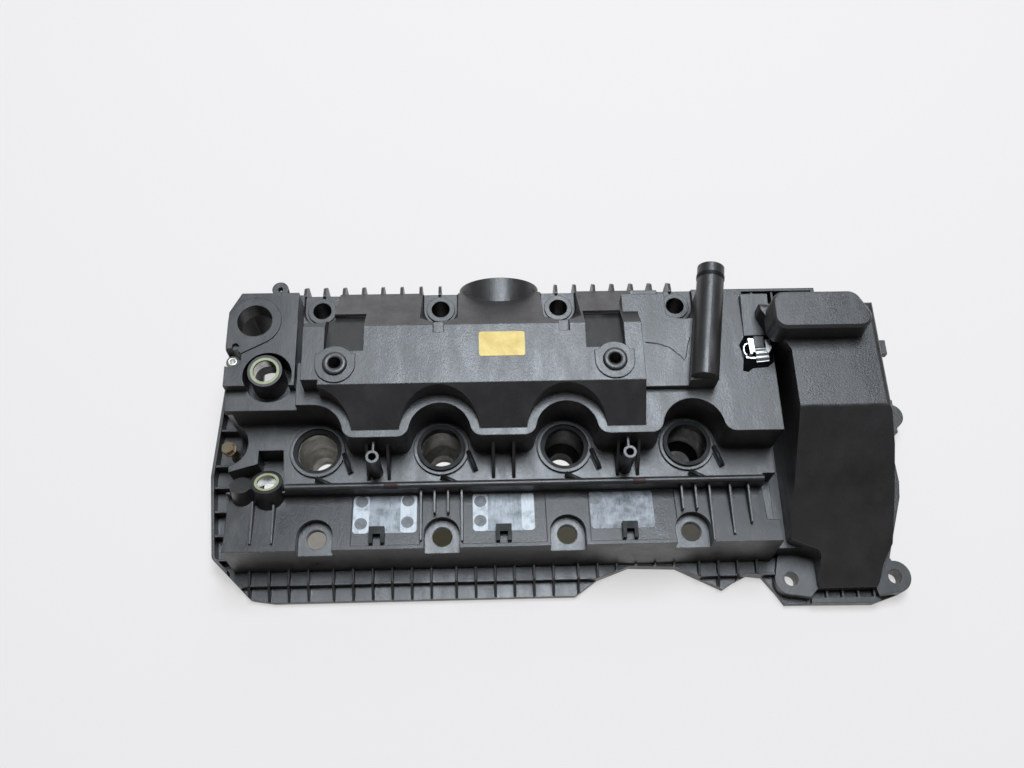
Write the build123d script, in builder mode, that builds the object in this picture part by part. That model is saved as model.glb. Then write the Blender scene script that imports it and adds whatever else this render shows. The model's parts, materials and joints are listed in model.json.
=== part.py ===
"""Cylinder head cover of a V-engine bank, with its tubes, seals, screws and small fittings.

Frame: the origin lies on the axis of the first plug well, in the plane of the sealing face.
+X runs along the plug wells to the timing end, +Y to the intake side, +Z up. Millimetres.
"""
import os
from math import cos, radians, sin, tan

from build123d import *

# ---------------------------------------------------------------- cylinder layout
well_count = 4
bore_pitch = 98.0                 # from one plug well to the next
wall = 3.0                        # of the moulding
core_sides = 12                   # of the round forms inside the walls
column_sides = 8

# ---------------------------------------------------------------- heights over the sealing face
flange_t = 5.0
ledge_z = 10.0                    # inner step of the front flange
bar_z = 12.5                      # bar along that step
side_rim_z = 19.0
ear_z = 15.0
skirt_foot_z = 16.0
front_seat_z = 46.0               # front bolt seats
terrace_foot_z = 50.0             # terrace at the rail
terrace_lip_z = 58.0              # terrace at the front edge
deck_z = 58.5                     # plug deck
rear_seat_z = 70.0                # rear bolt seats
rear_deck_z = 73.0
shelf_z = 98.0
breather_block_z = 104.0
box_z = 118.0                     # oil separator box
dome_z = 118.0                    # timing end
cap_z = 139.0

# ---------------------------------------------------------------- stations across the engine (Y)
flange_front_y = -108.0
ledge_y = -95.0
skirt_foot_y = -84.0
skirt_lip_y = -80.0
front_bolt_y = -68.0
rail_y = -31.0
shelf_y = -3.5
lobe_foot_y = 2.0
box_front_y = 32.0
shelf_lap_y = 60.0
box_crest_y = 81.3
rear_bolt_y = 119.5
rear_y = 134.0
flange_rear_y = 150.0

# ---------------------------------------------------------------- stations along the engine (X)
well_to_hull_end = 69.5           # first well
well_to_vent_block_end = 14.7     # first well
well_to_box_start = 6.4           # first well
well_to_flange_edge = 93.3        # first well
well_to_box_end = 37.5            # last well
well_to_deck_end = 62.0           # last well
well_to_shelf_end = 69.0          # last well
well_to_dome = 77.5               # last well

# ---------------------------------------------------------------- plug wells
tab_t = 4.4                       # slanted tabs beside each well
tab_h = 2.4
side_tab = ((20.9, -2.6), (27.0, -18.7))   # its two ends, from the well's axis
front_tab = ((-0.2, -23.0), (14.9, -30.8))
scallop_r = 24.0                  # round each well, in the shelf wall
box_scallop_r = 31.0              # round each well, in the box front
scallop_blend_r = 9.5
collar_r = 21.8
collar_rise = 2.5
guide_depth = 36.0                # length of the guide round the tube
well_bore_r = 19.0
tube_r = 17.0
tube_wall = 1.3
tube_neck_r = 11.8
tube_neck_l = 16.0
tube_cone_l = 10.0
tube_drop = 6.5                   # its top below the collar
seal_drops = (2.0, -2.5, 2.0, -2.5)   # top of each seal below its collar
seal_h = 8.0
seal_lip = 1.2

# ---------------------------------------------------------------- bolts
front_recess_r = 13.8
front_hole_r = 7.9
front_column_r = 11.0
rear_recess_r = 13.8
rear_recess_lean = 24.0            # degrees, of the recess's front wall
rear_hole_r = 7.5
rear_boss_r = 11.6
rear_boss_rise = 1.6
ear_hole_r = 5.6
ear_r = 13.0
ear_spacing = 84.6
ear_y = -100.4
dome_to_ear = 5.7

# ---------------------------------------------------------------- flange ribs and rear fins
flange_round = 7.0
side_rim_t = 2.4
rim_w = 10.0                      # sealing rim
groove_in = 3.4
groove_w = 3.2
groove_depth = 3.0
rib_t = 1.8
rib_gap_at_bolt = 20.0            # the wider cell in front of each bolt
ribs_between_bolts = 4
ribs_before_bolts = 3
fin_pitch = 16.0
fin_t = 2.2
fin_reach = 13.0
fin_tip_z = 62.0
fins_by_vent = 8
fins_by_breather = 7
side_rib_ys = (-75.0, -55.0, -34.8, -14.2, 4.6, 36.3, 53.9, 71.5)

# ---------------------------------------------------------------- mouldings on the deck and terrace
rail_r = 2.6
post_r = 5.15
post_bore_r = 2.9
post_z = 96.0
post_y = -18.5
post_shift = -2.0                 # from midway between two wells
gusset_t = 2.4
gusset_gap = 16.0
gusset_foot_y = -25.0
gusset_rise = 24.0
terrace_rib_t = 1.7
panel_depth = 1.4
panel_front_y = -76.8
panel_rear_y = -34.7
panels = ((27.8, 81.3), (114.0, 179.5), (213.5, 282.0))   # sunken fields of the terrace
low_port_l = 32.0
hook_w = 12.0
hook_y = -69.0
hook_l = 13.0
box_pad_r = 15.2
box_pad_l = 9.0                   # straight part of the pad, behind its round front
pad_rise = 1.5
pad_hole_r = 4.5
pad_hole_depth = 12.0
pocket_front_y = 60.0
pocket_z = 112.0
pocket_rear_y = 100.0
pocket_rear_z = 97.0
end_recess_r = 19.0
end_recess_y = 8.0
end_recess_z = 22.0
saddle_l = 78.0                   # of the rest under the breather pipe

# ---------------------------------------------------------------- intake side
motor_port_r = 33.5
motor_port_bore_r = 29.5
motor_port_z = 56.5
motor_port_y = 144.0
motor_port_tilt = 9.0             # degrees above level
motor_port_length = 50.0
pipe_r = 10.8
pipe_bore_r = 8.2
pipe_z = 115.0
pipe_yaw = 8.8                    # degrees from +Y towards the timing end
pipe_length = 98.0
pipe_groove_r = 9.6
pipe_groove_w = 3.0
pipe_collar = 8.0
pipe_ring_proud = 0.4             # of the ring in the pipe's groove

# ---------------------------------------------------------------- vent and sensor ports
vent_r = 13.8
vent_x = -48.4
vent_y = 96.8
vent_depth = 16.0
vent_step_y = 41.0                # front of the block's upper level
vent_rear_y = 122.5
vent_flange_r = 21.0
vent_screw_x = -62.0              # screw end of the vent flange
vent_screw_y = 74.4
vent_screw_r = 7.5
vent_screw_hole_r = 2.75
vent_screw_hole_depth = 3.5
vent_ear_x = -30.2
vent_ear_y = 125.8
vent_ear_r = 6.5
vent_ear_hole_r = 2.0
vent_ledge_z = 88.0
sensor_r = 13.6
sensor_bore_r = 11.4
sensor_x = -38.0
sensor_y = 53.5
low_sensor_x = -37.8
low_sensor_y = -26.0
low_sensor_z = 64.0
low_sensor_tilt = 26.0
low_sensor_r = 12.4
low_sensor_bore_r = 9.6

liner_l = 13.0
liner_t = 1.6
ring_d = 2.2
label_w = 35.5
label_h = 20.8
label_y = 64.0
label_t = 0.3

# ---------------------------------------------------------------- recesses of the moulding
corner_floor_z = 32.0             # cells behind the shelf's end
corner_front_y = 119.0
corner_rim_t = 2.5
corner_rib_pitch = 17.0
corner_ribs = 3
moat_z = 36.0                     # gap behind the low sensor port
moat_r = 19.0                     # pocket round the upper sensor port
moat_shift = (2.0, -3.5)
sensor_moat_z = 72.0
lobe_r = 8.6                      # screw lobe beside the low sensor port
lobe_reach = 20.4
scoop_w = 8.4                     # scoops in the crest of the box, before the middle bolts
scoop_l = 13.0
scoop_z = 110.0
tongue_w = 22.0
tongue_front_y = 77.0
tongue_rear_y = 112.0
tongue_z = 104.0

# ---------------------------------------------------------------- screws and the clip
screw_r = 3.0
screw_head_r = 5.2
screw_head_h = 4.6
washer_r = 6.0
washer_t = 1.4
notch_r = 8.0                     # notch of the vent block round the upright screw
notch_z = 70.0
upright_screw_x = -65.1
upright_screw_y = 65.0
upright_screw_z = 90.0            # top of its head
upright_seat_z = 78.0
leaning_screw_x = -70.3
leaning_screw_y = 8.7
leaning_seat_z = 27.0
leaning_screw_l = 23.3
screw_lean = 9.5                  # degrees
screw_boss_r = 5.4
clip_w = 22.0
clip_front_y = 60.0
clip_rear_y = 72.6
clip_t = 1.0
clip_leg_w = 4.5
clip_gap = 2.5                    # from the shelf's end

# ---------------------------------------------------------------- timing end
dome_top_w = 70.0
dome_foot_out = 15.0              # past the edge of its top, like the next three
dome_knee_out = 11.5              # flank, where it turns upright
dome_knee_z = 49.0
dome_crest_y = 7.5                # where the long front slope starts
dome_nose_y = -109.0
dome_nose_z = 18.0
dome_cheek_z = 97.0               # flank, where its lean starts to steepen
dome_cheek_out = 5.5
dome_waist_z = 69.0
dome_waist_out = 9.5
dome_rear_y = 97.0
dome_round = 5.0
dome_shoulder = 20.0              # how far the rear of its top reaches over the shelf
dome_shoulder_y = 55.0
cap_left = 16.5                   # past the dome's upright flank
cap_w = 83.0
cap_front_y = 63.5
cap_rear_y = 95.0
cap_skew = 17.0
cap_round = 10.0
cap_edge = 2.0
drum_reach = 24.0                 # how far its base bulges past the leaning flank
drum_y = -26.0
drum_z = 11.0
lug_r = 11.0                      # lug on the drum's rim
lug_y = 37.0
lug_z = 20.0
lug_base_w = 8.0
lug_base_l = 30.0
tab_plate_z = 56.0                # plate at the rear of the leaning flank
tab_plate_t = 6.0
tab_plate_y = 89.0
tab_plate_w = 13.0
tab_plate_reach = 13.5
ear_row_front_y = -121.0          # ribbed row between the ears
ear_row_w = 56.0
ear_row_gap = 15.8                # from the first ear
ear_row_t = 6.0
ear_row_z = 10.0
ear_rib_gap = 29.0                # from the first ear to the first rib
ear_rib_pitch = 12.8
ear_ribs = 4
gap_floor_z = 34.0                # between the shelf and the timing end

well_xs = [i * bore_pitch for i in range(well_count)]
mid_xs = [x + bore_pitch / 2 for x in well_xs[:-1]]
last_well = well_xs[-1]
hull_left = -well_to_hull_end
vent_block_right = -well_to_vent_block_end
box_left = -well_to_box_start
box_right = last_well - well_to_box_end
deck_right = last_well + well_to_deck_end
shelf_right = last_well + well_to_shelf_end
dome_left = last_well + well_to_dome
flange_left = -well_to_flange_edge
breather_right = last_well + 8.0
collar_z = deck_z + collar_rise
tube_top_z = collar_z - tube_drop
ear_x = dome_left + dome_to_ear
dome_shoulder_x = dome_left + dome_top_w
dome_right = dome_shoulder_x + dome_foot_out
motor_x = mid_xs[1]
terrace_ribs = [
    (well_xs[0] - 48.6, -40.0, -74.0),
    (well_xs[0] - 32.2, -43.0, -74.0),
    (well_xs[1] - 16.0, rail_y, -74.0),
    (well_xs[1] - 5.4, rail_y, -52.0),
    (well_xs[1] + 5.1, rail_y, -52.0),
    (well_xs[1] + 15.8, rail_y, -75.0),
    (well_xs[3] - 7.0, rail_y, -53.0),
    (well_xs[3] + 4.0, rail_y, -53.0),
    (well_xs[3] + 15.0, rail_y, -79.0),
    (well_xs[3] + 31.3, rail_y, -74.0),
    (well_xs[3] + 46.0, rail_y, -65.0),
]
rib_pitch = (bore_pitch - rib_gap_at_bolt) / (ribs_between_bolts + 1)
half_gap = rib_gap_at_bolt / 2
rib_xs = [x - half_gap for x in well_xs]
rib_xs += [x + half_gap + rib_pitch * k for x in well_xs for k in range(ribs_between_bolts + 1)]
rib_xs += [-half_gap - rib_pitch * k for k in range(1, ribs_before_bolts + 1)]
rib_xs = [x for x in rib_xs if x < ear_x - ear_r]
fin_xs = [vent_block_right + fin_pitch * k for k in range(fins_by_vent)]
fin_xs += [well_xs[2] - 1 + fin_pitch * k for k in range(fins_by_breather)]
front_bolts = [(x, front_bolt_y) for x in well_xs]
rear_bolts = [(x, rear_bolt_y) for x in well_xs]
hook_xs = [mid - 1 for mid in mid_xs]
rail_start = hull_left + 46
rail_end = deck_right - 4
pad_y = box_front_y + 16.3
box_pad_xs = (well_xs[0] + 19.3, box_right - 23.0)
roof_pockets = ((box_pad_xs[0] - 9, box_pad_xs[0] + 21), (box_pad_xs[1] - 21, box_pad_xs[1] + 9))
port_plane = Plane(
    origin=(motor_x, motor_port_y, motor_port_z),
    x_dir=(1, 0, 0),
    z_dir=(0, cos(radians(motor_port_tilt)), sin(radians(motor_port_tilt))),
)
pipe_plane = Plane(
    origin=(breather_right, box_front_y + 1, pipe_z),
    x_dir=(0, 0, 1),
    z_dir=(sin(radians(pipe_yaw)), cos(radians(pipe_yaw)), 0),
)
leaning_seat = Plane(
    origin=(leaning_screw_x, leaning_screw_y, leaning_seat_z),
    x_dir=(0, 1, 0),
    z_dir=(-sin(radians(screw_lean)), 0, cos(radians(screw_lean))),
)
upright_seat = Plane(origin=(upright_screw_x, upright_screw_y, upright_seat_z))
low_port_plane = Plane(
    origin=(low_sensor_x, low_sensor_y, low_sensor_z),
    x_dir=(1, 0, 0),
    z_dir=(0, sin(radians(low_sensor_tilt)), cos(radians(low_sensor_tilt))),
)


def disc(radius, inset):
    """Circle outside; inside the walls, a plain polygon one wall further out."""
    if inset:
        RegularPolygon(radius + inset, core_sides, major_radius=False)
    else:
        Circle(radius)


def section_block(points, x_from, x_to, inset, rounding=0.0):
    """Extrude a closed Y-Z outline along X, drawn in by the inset on every side."""
    with BuildSketch(Plane.YZ.offset(x_from + inset)) as section:
        with BuildLine():
            Polyline(*points, close=True)
        make_face()
        if inset:
            offset(amount=-inset, kind=Kind.INTERSECTION)
        if rounding and not inset:
            fillet(section.vertices().group_by(Axis.Y)[-1], rounding)
    extrude(section.sketch, amount=x_to - x_from - 2 * inset, dir=(1, 0, 0))


def plan_block(points, z_from, z_to, inset):
    """Extrude a closed plan outline upward, drawn in by the inset on every side but the bottom."""
    with BuildSketch(Plane.XY.offset(z_from)) as plan:
        with BuildLine():
            Polyline(*points, close=True)
        make_face()
        if inset:
            offset(amount=-inset, kind=Kind.INTERSECTION)
    extrude(plan.sketch, amount=z_to - inset - z_from, dir=(0, 0, 1))


def shelf_plan(inset):
    """Plan of the shelf, with a scallop round every plug well."""
    with BuildSketch(Plane.XY) as plan:
        with BuildLine():
            Polyline(
                (0, shelf_y),
                (shelf_right, shelf_y),
                (shelf_right, rear_bolt_y - 4),
                (breather_right, rear_bolt_y - 4),
                (breather_right, shelf_lap_y),
                (vent_block_right + 2, shelf_lap_y),
                (vent_block_right + 2, scallop_r),
                (0, scallop_r),
                close=True,
            )
        make_face()
        with Locations(*[(x, 0) for x in well_xs]):
            if inset:
                RegularPolygon(scallop_r, core_sides, major_radius=False, mode=Mode.SUBTRACT)
            else:
                Circle(scallop_r, mode=Mode.SUBTRACT)
        corners = [v for v in plan.vertices() if abs(v.Y - shelf_y) < 0.01 and v.X < shelf_right - 1]
        if inset:
            chamfer(corners, scallop_blend_r / 2)
            offset(amount=-inset, kind=Kind.INTERSECTION)
        else:
            fillet(corners, scallop_blend_r)
    return plan.sketch


def oil_box(inset):
    """Separator box with its sloping lobes, rounded out over every plug well."""
    base = -2 * inset
    with BuildPart() as box:
        section_block(
            [
                (lobe_foot_y, base),
                (lobe_foot_y, shelf_z),
                (box_front_y, box_z),
                (box_crest_y, box_z),
                (rear_y, rear_deck_z),
                (rear_y, base),
            ],
            box_left,
            box_right,
            inset,
        )
        with BuildSketch(Plane.XY.offset(-wall)) as hollows:
            with Locations(*[(x, 0) for x in well_xs]):
                disc(box_scallop_r, inset)
            with Locations((box_left, 0)):
                Rectangle(-box_left * 2, 2 * (box_scallop_r + inset) + 10, align=(Align.MIN, Align.CENTER))
        extrude(hollows.sketch, amount=box_z + 2 * wall, dir=(0, 0, 1), mode=Mode.SUBTRACT)
    return box.part


def timing_dome(inset):
    """Tall timing end: a long front slope between an upright and a leaning flank."""
    base = -2 * inset
    with BuildPart() as dome:
        section_block(
            [
                (dome_nose_y, base),
                (dome_nose_y, dome_nose_z),
                (dome_crest_y, dome_z),
                (dome_rear_y, dome_z),
                (dome_rear_y, base),
            ],
            dome_left - dome_shoulder - wall,
            dome_right,
            inset,
            rounding=dome_round,
        )
        with BuildSketch(Plane.XZ.offset(-dome_rear_y)) as front:
            with BuildLine():
                Polyline(
                    (dome_left - dome_shoulder - wall, base),
                    (dome_left - dome_shoulder - wall, dome_z),
                    (dome_shoulder_x, dome_z),
                    (dome_shoulder_x + dome_cheek_out, dome_cheek_z),
                    (dome_shoulder_x + dome_waist_out, dome_waist_z),
                    (dome_shoulder_x + dome_knee_out, dome_knee_z),
                    (dome_right, base),
                    close=True,
                )
            make_face()
            if inset:
                offset(amount=-inset, kind=Kind.INTERSECTION)
            else:
                fillet(front.vertices().group_by(Axis.Y)[-1], dome_round)
        extrude(front.sketch, amount=dome_rear_y - dome_nose_y, dir=(0, -1, 0), mode=Mode.INTERSECT)
        with BuildSketch(Plane.XY.offset(base)) as plan:
            with BuildLine():
                Polyline(
                    (dome_left - dome_shoulder, dome_rear_y + 20),
                    (dome_left - dome_shoulder, dome_rear_y - 6),
                    (dome_left, dome_shoulder_y),
                    (dome_left, skirt_foot_y + 8),
                    (ear_x + ear_r + 7, skirt_foot_y),
                    (ear_x + ear_r + 7, dome_nose_y - 1),
                    (ear_x + ear_spacing - ear_r - 3, dome_nose_y - 1),
                    (ear_x + ear_spacing - ear_r - 1, skirt_foot_y - 10),
                    (dome_right - 2, front_bolt_y - 10),
                    (dome_right + 1, dome_crest_y),
                    (dome_right + 1, dome_rear_y + 20),
                    close=True,
                )
            make_face()
            if inset:
                offset(amount=-inset, kind=Kind.INTERSECTION)
            else:
                fillet(plan.vertices(), dome_round)
        extrude(plan.sketch, amount=dome_z - base, dir=(0, 0, 1), mode=Mode.INTERSECT)
    return dome.part


def body_masses(inset):
    """Everything that encloses the camshafts; with an inset, the room left inside it."""
    base = -2 * inset
    with BuildPart() as body:
        section_block(
            [
                (skirt_foot_y, base),
                (skirt_foot_y, skirt_foot_z),
                (skirt_lip_y, terrace_lip_z),
                (rail_y - rail_r, terrace_foot_z),
                (rail_y - rail_r, deck_z),
                (scallop_r + 4 * wall, deck_z),
                (scallop_r + 4 * wall, base),
            ],
            hull_left,
            shelf_right,
            inset,
        )
        shelf = shelf_plan(inset).moved(Location((0, 0, base)))
        extrude(shelf, amount=shelf_z - inset - base, dir=(0, 0, 1))
        plan_block(
            [
                (hull_left, scallop_r),
                (vent_block_right + 3 * wall, scallop_r),
                (vent_block_right + 3 * wall, vent_step_y + 3 * wall),
                (hull_left, vent_step_y + 3 * wall),
            ],
            base,
            vent_ledge_z,
            inset,
        )
        plan_block(
            [
                (hull_left, vent_step_y),
                (vent_block_right, vent_step_y),
                (vent_block_right, vent_rear_y),
                (hull_left + 9, vent_rear_y),
                (hull_left, vent_rear_y - 17),
            ],
            base,
            shelf_z,
            inset,
        )
        plan_block(
            [
                (box_right - 4 * wall, box_front_y),
                (breather_right, box_front_y),
                (breather_right, rear_bolt_y - 6),
                (box_right - 4 * wall, rear_bolt_y - 6),
            ],
            base,
            breather_block_z,
            inset,
        )
        plan_block(
            [
                (vent_block_right - 4 * wall, box_front_y + 4),
                (shelf_right, box_front_y + 4),
                (shelf_right, rear_y),
                (vent_block_right - 4 * wall, rear_y),
            ],
            base,
            rear_deck_z,
            inset,
        )
        plan_block(
            [
                (shelf_right - 4 * wall, skirt_lip_y),
                (dome_left + 4 * wall, skirt_lip_y),
                (dome_left + 4 * wall, dome_rear_y),
                (shelf_right - 4 * wall, dome_rear_y),
            ],
            base,
            gap_floor_z,
            inset,
        )
        plan_block(
            [
                (shelf_right - 4 * wall, dome_rear_y - 4 * wall),
                (dome_left + cap_w / 2, dome_rear_y - 4 * wall),
                (dome_left + cap_w / 2, rear_y),
                (shelf_right - 4 * wall, rear_y),
            ],
            base,
            rear_deck_z,
            inset,
        )
    return body.part


def flange_edge_plan(inset):
    """Outer edge of the sealing flange, before the cut-out and the ears."""
    with BuildSketch(Plane.XY) as plan:
        with BuildLine():
            Polyline(
                (flange_left + 6.0, flange_rear_y),
                (flange_left + 6.0, 90),
                (flange_left, -5),
                (flange_left + 6.5, -74),
                (flange_left + 37.0, flange_front_y + 3),
                (flange_left + 56.0, flange_front_y),
                (ear_x - ear_r, flange_front_y),
                (dome_right + 5, flange_front_y + 24),
                (dome_right + drum_reach + 1, drum_y),
                (dome_right + drum_reach, lug_y - 30),
                (dome_right + drum_reach, lug_y + 6),
                (dome_right + 12, lug_y + 26),
                (dome_right + 10, rear_y - 14),
                (dome_right - 16, flange_rear_y),
                close=True,
            )
        make_face()
        if inset:
            offset(amount=-inset, kind=Kind.INTERSECTION)
        fillet(plan.vertices().sort_by(Axis.X)[:6], flange_round - inset)
        chamfer(plan.vertices().group_by(Axis.X)[-1], flange_round)
    return plan.sketch


def flange_plan():
    """Outline of the sealing flange with the cut-out and the two ears."""
    with BuildSketch(Plane.XY) as plan:
        add(flange_edge_plan(0))
        with BuildLine():
            Polyline(
                (well_xs[2] + 6, flange_front_y - 1),
                (well_xs[2] + 26, -95),
                (well_xs[2] + 52, -85.5),
                (well_xs[2] + 90, -87),
                (well_xs[3] + 29, -105.5),
                (well_xs[3] + 38, -100),
                (well_xs[3] + 50, -94.5),
                (well_xs[3] + 62, -96),
                (well_xs[3] + 71, -108),
                (well_xs[3] + 72, flange_front_y - 1),
                close=True,
            )
        make_face(mode=Mode.SUBTRACT)
        with Locations((ear_x, ear_y), (ear_x + ear_spacing, ear_y)):
            Circle(ear_r)
        with BuildLine():
            Polyline(
                (ear_x - ear_r, ear_y - 6),
                (ear_x - 5, ear_y - 18.5),
                (ear_x + ear_spacing - 18, ear_y - 19.5),
                (ear_x + ear_spacing + 5, ear_y - 12),
                (ear_x + ear_spacing, ear_y + 10),
                (ear_x, ear_y + 12),
                (ear_x - 12, ear_y + 6),
                close=True,
            )
        make_face()
    return plan.sketch


def cap_plan(inset):
    """Plan of the cap on the timing end, at the underside of the dome's top."""
    with BuildSketch(Plane.XY.offset(dome_z - 2 * wall)) as plan:
        with BuildLine():
            Polyline(
                (dome_left - cap_left, cap_front_y),
                (dome_left - cap_left + cap_w, cap_front_y),
                (dome_left - cap_left + cap_w - cap_skew, cap_rear_y),
                (dome_left - cap_left, cap_rear_y),
                close=True,
            )
        make_face()
        if inset:
            offset(amount=-inset, kind=Kind.INTERSECTION)
        fillet(plan.vertices(), cap_round - inset / 2)
    return plan.sketch


def dome_flange_plan():
    """Base of the timing end that carries the two ears."""
    with BuildSketch(Plane.XY) as plan:
        with Locations((ear_x, ear_y), (ear_x + ear_spacing, ear_y)):
            Circle(ear_r)
        with BuildLine():
            Polyline(
                (ear_x - 4, ear_y - 12),
                (ear_x + ear_r + 1, ear_y - 15),
                (ear_x + ear_r + 7, dome_nose_y),
                (ear_x + ear_spacing - ear_r - 4, dome_nose_y),
                (ear_x + ear_spacing - ear_r - 2, ear_y - 15),
                (ear_x + ear_spacing + 2, ear_y - 12.5),
                (ear_x + ear_spacing, ear_y + 12),
                (ear_x + ear_spacing - ear_r + 4, skirt_foot_y + 12),
                (ear_x + ear_r, skirt_foot_y + 8),
                (ear_x - 8, skirt_foot_y + 6),
                (ear_x - 12, ear_y + 5),
                close=True,
            )
        make_face()
    return plan.sketch


def seat_recess(centres, radius, seat_z, way_out, inset):
    """Rounded recess over each bolt seat, open to the side given by way_out."""
    with BuildPart() as recess:
        with BuildSketch(Plane.XY.offset(seat_z - inset)):
            with Locations(*centres):
                disc(radius, inset)
                with Locations((0, way_out * radius)):
                    Rectangle(2 * (radius + inset), 2 * radius)
        extrude(amount=box_z)
    return recess.part


def rear_recess(inset):
    """Recess over each rear bolt seat: its front leans toward the box, its sides stand upright."""
    with BuildPart() as recess:
        with BuildSketch(Plane.XY.offset(rear_seat_z - inset)):
            with Locations(*rear_bolts):
                disc(rear_recess_r, inset)
                with Locations((0, rear_recess_r)):
                    Rectangle(2 * (rear_recess_r + inset), 2 * rear_recess_r)
        extrude(amount=box_z - rear_seat_z + 2 * wall, taper=-rear_recess_lean)
        with BuildSketch(Plane.XY.offset(rear_seat_z - inset)):
            with Locations(*rear_bolts):
                Rectangle(2 * (rear_recess_r + 1 + inset), 6 * rear_recess_r)
        extrude(amount=box_z, mode=Mode.INTERSECT)
    return recess.part


def roof_pocket(x_from, x_to, inset):
    """Sunken, sloping floor behind a pad of the separator box."""
    with BuildPart() as pocket:
        with BuildSketch(Plane.YZ.offset(x_from - inset)):
            with BuildLine():
                Polyline(
                    (pocket_front_y - inset, box_z + wall),
                    (pocket_front_y - inset, pocket_z - inset),
                    (pocket_rear_y, pocket_rear_z - inset),
                    (pocket_rear_y, box_z + wall),
                    close=True,
                )
            make_face()
        extrude(amount=x_to - x_from + 2 * inset)
    return pocket.part


def corner_cells(inset):
    """Deep recess behind the shelf's end."""
    with BuildPart() as recess:
        with BuildSketch(Plane.XY.offset(corner_floor_z - inset)):
            with Locations((shelf_right - 4 * wall - inset, corner_front_y - inset)):
                Rectangle(
                    dome_left + cap_w / 2 - shelf_right + 3 * wall + 2 * inset,
                    rear_y - corner_rim_t - corner_front_y + 2 * inset,
                    align=(Align.MIN, Align.MIN),
                )
        extrude(amount=rear_deck_z)
    return recess.part


def sensor_moats(inset):
    """Pocket round the upper sensor port and the gap behind the low one."""
    with BuildPart() as recess:
        with BuildSketch(Plane.XY.offset(sensor_moat_z - inset)):
            with Locations((sensor_x + moat_shift[0], sensor_y + moat_shift[1])):
                disc(moat_r, inset)
        extrude(amount=box_z - sensor_moat_z)
        with BuildSketch(Plane.XY.offset(moat_z - inset)) as gap:
            with BuildLine():
                Polyline(
                    (hull_left - 2, low_sensor_y + 10),
                    (low_sensor_x - 9, low_sensor_y + 17),
                    (low_sensor_x - 9, low_sensor_y + 28),
                    (low_sensor_x + 10.5, low_sensor_y + 28),
                    (low_sensor_x + 13, rail_y - 1),
                    (hull_left - 2, rail_y - 1),
                    close=True,
                )
            make_face()
            if inset:
                offset(amount=inset, kind=Kind.INTERSECTION)
        extrude(gap.sketch, amount=deck_z, dir=(0, 0, 1))
    return recess.part


def hull(inset):
    """Outside of the cover, or with an inset of one wall, the room inside it."""
    with BuildPart() as form:
        add(body_masses(inset))
        add(oil_box(inset))
        add(timing_dome(inset))
        add(seat_recess(front_bolts, front_recess_r, front_seat_z, -1, inset), mode=Mode.SUBTRACT)
        add(rear_recess(inset), mode=Mode.SUBTRACT)
        for x_from, x_to in roof_pockets:
            add(roof_pocket(x_from, x_to, inset), mode=Mode.SUBTRACT)
        add(corner_cells(inset), mode=Mode.SUBTRACT)
        add(sensor_moats(inset), mode=Mode.SUBTRACT)
        with BuildSketch(Plane.XY.offset(scoop_z - inset)):
            with Locations(*[(x, box_crest_y) for x in well_xs[1:3]]):
                Rectangle(scoop_w + 2 * inset, scoop_l + 2 * inset)
        extrude(amount=box_z, mode=Mode.SUBTRACT)
        with BuildSketch(Plane.XY.offset(notch_z - inset)):
            with Locations((upright_screw_x, upright_screw_y)):
                disc(notch_r, inset)
        extrude(amount=shelf_z, mode=Mode.SUBTRACT)
        with BuildSketch(Plane.XY.offset(end_recess_z - inset)):
            with Locations((hull_left - 5, end_recess_y)):
                disc(end_recess_r, inset)
        extrude(amount=deck_z, mode=Mode.SUBTRACT)
        with BuildSketch(Plane.XY.offset(gap_floor_z + 4 - inset)):
            with BuildLine():
                Polyline(
                    (deck_right - 3 - inset, rail_y + 6 + inset),
                    (dome_left - wall, rail_y + 6 + inset),
                    (dome_left - wall, -62 - inset),
                    (deck_right - 3 - inset, -62 - inset),
                    close=True,
                )
            make_face()
        extrude(amount=deck_z, mode=Mode.SUBTRACT)
    return form.part


def foot_plan(inset):
    """Plan of the sealing rim under the body and the timing end."""
    with BuildSketch(Plane.XY) as plan:
        with BuildLine():
            Polyline(
                (hull_left, skirt_foot_y),
                (ear_x + ear_r + 7, skirt_foot_y),
                (ear_x + ear_r + 7, dome_nose_y),
                (ear_x + ear_spacing - ear_r - 4, dome_nose_y),
                (ear_x + ear_spacing - ear_r, skirt_foot_y - 4),
                (dome_right, front_bolt_y),
                (dome_right, dome_rear_y),
                (dome_left + cap_w / 2, dome_rear_y),
                (dome_left + cap_w / 2, rear_y),
                (vent_block_right, rear_y),
                (vent_block_right, vent_rear_y),
                (hull_left, vent_rear_y),
                close=True,
            )
        make_face()
        if inset:
            offset(amount=-inset, kind=Kind.INTERSECTION)
    return plan.sketch


def washer_screw(seat, length):
    """Hexagon screw with its washer, standing up from the seat plane."""
    shank = length - screw_head_h - washer_t
    with BuildPart() as screw:
        with BuildSketch(seat):
            Circle(screw_r)
        extrude(amount=shank)
        with BuildSketch(seat.offset(shank)):
            Circle(washer_r)
        extrude(amount=washer_t)
        with BuildSketch(seat.offset(shank + washer_t)):
            RegularPolygon(screw_head_r, 6)
        extrude(amount=screw_head_h)
    return screw


# ---------------------------------------------------------------- cover shell
flange_sketch = flange_plan()
ear_sketch = dome_flange_plan()
hull_outside = hull(0)
hull_inside = hull(wall)

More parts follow.
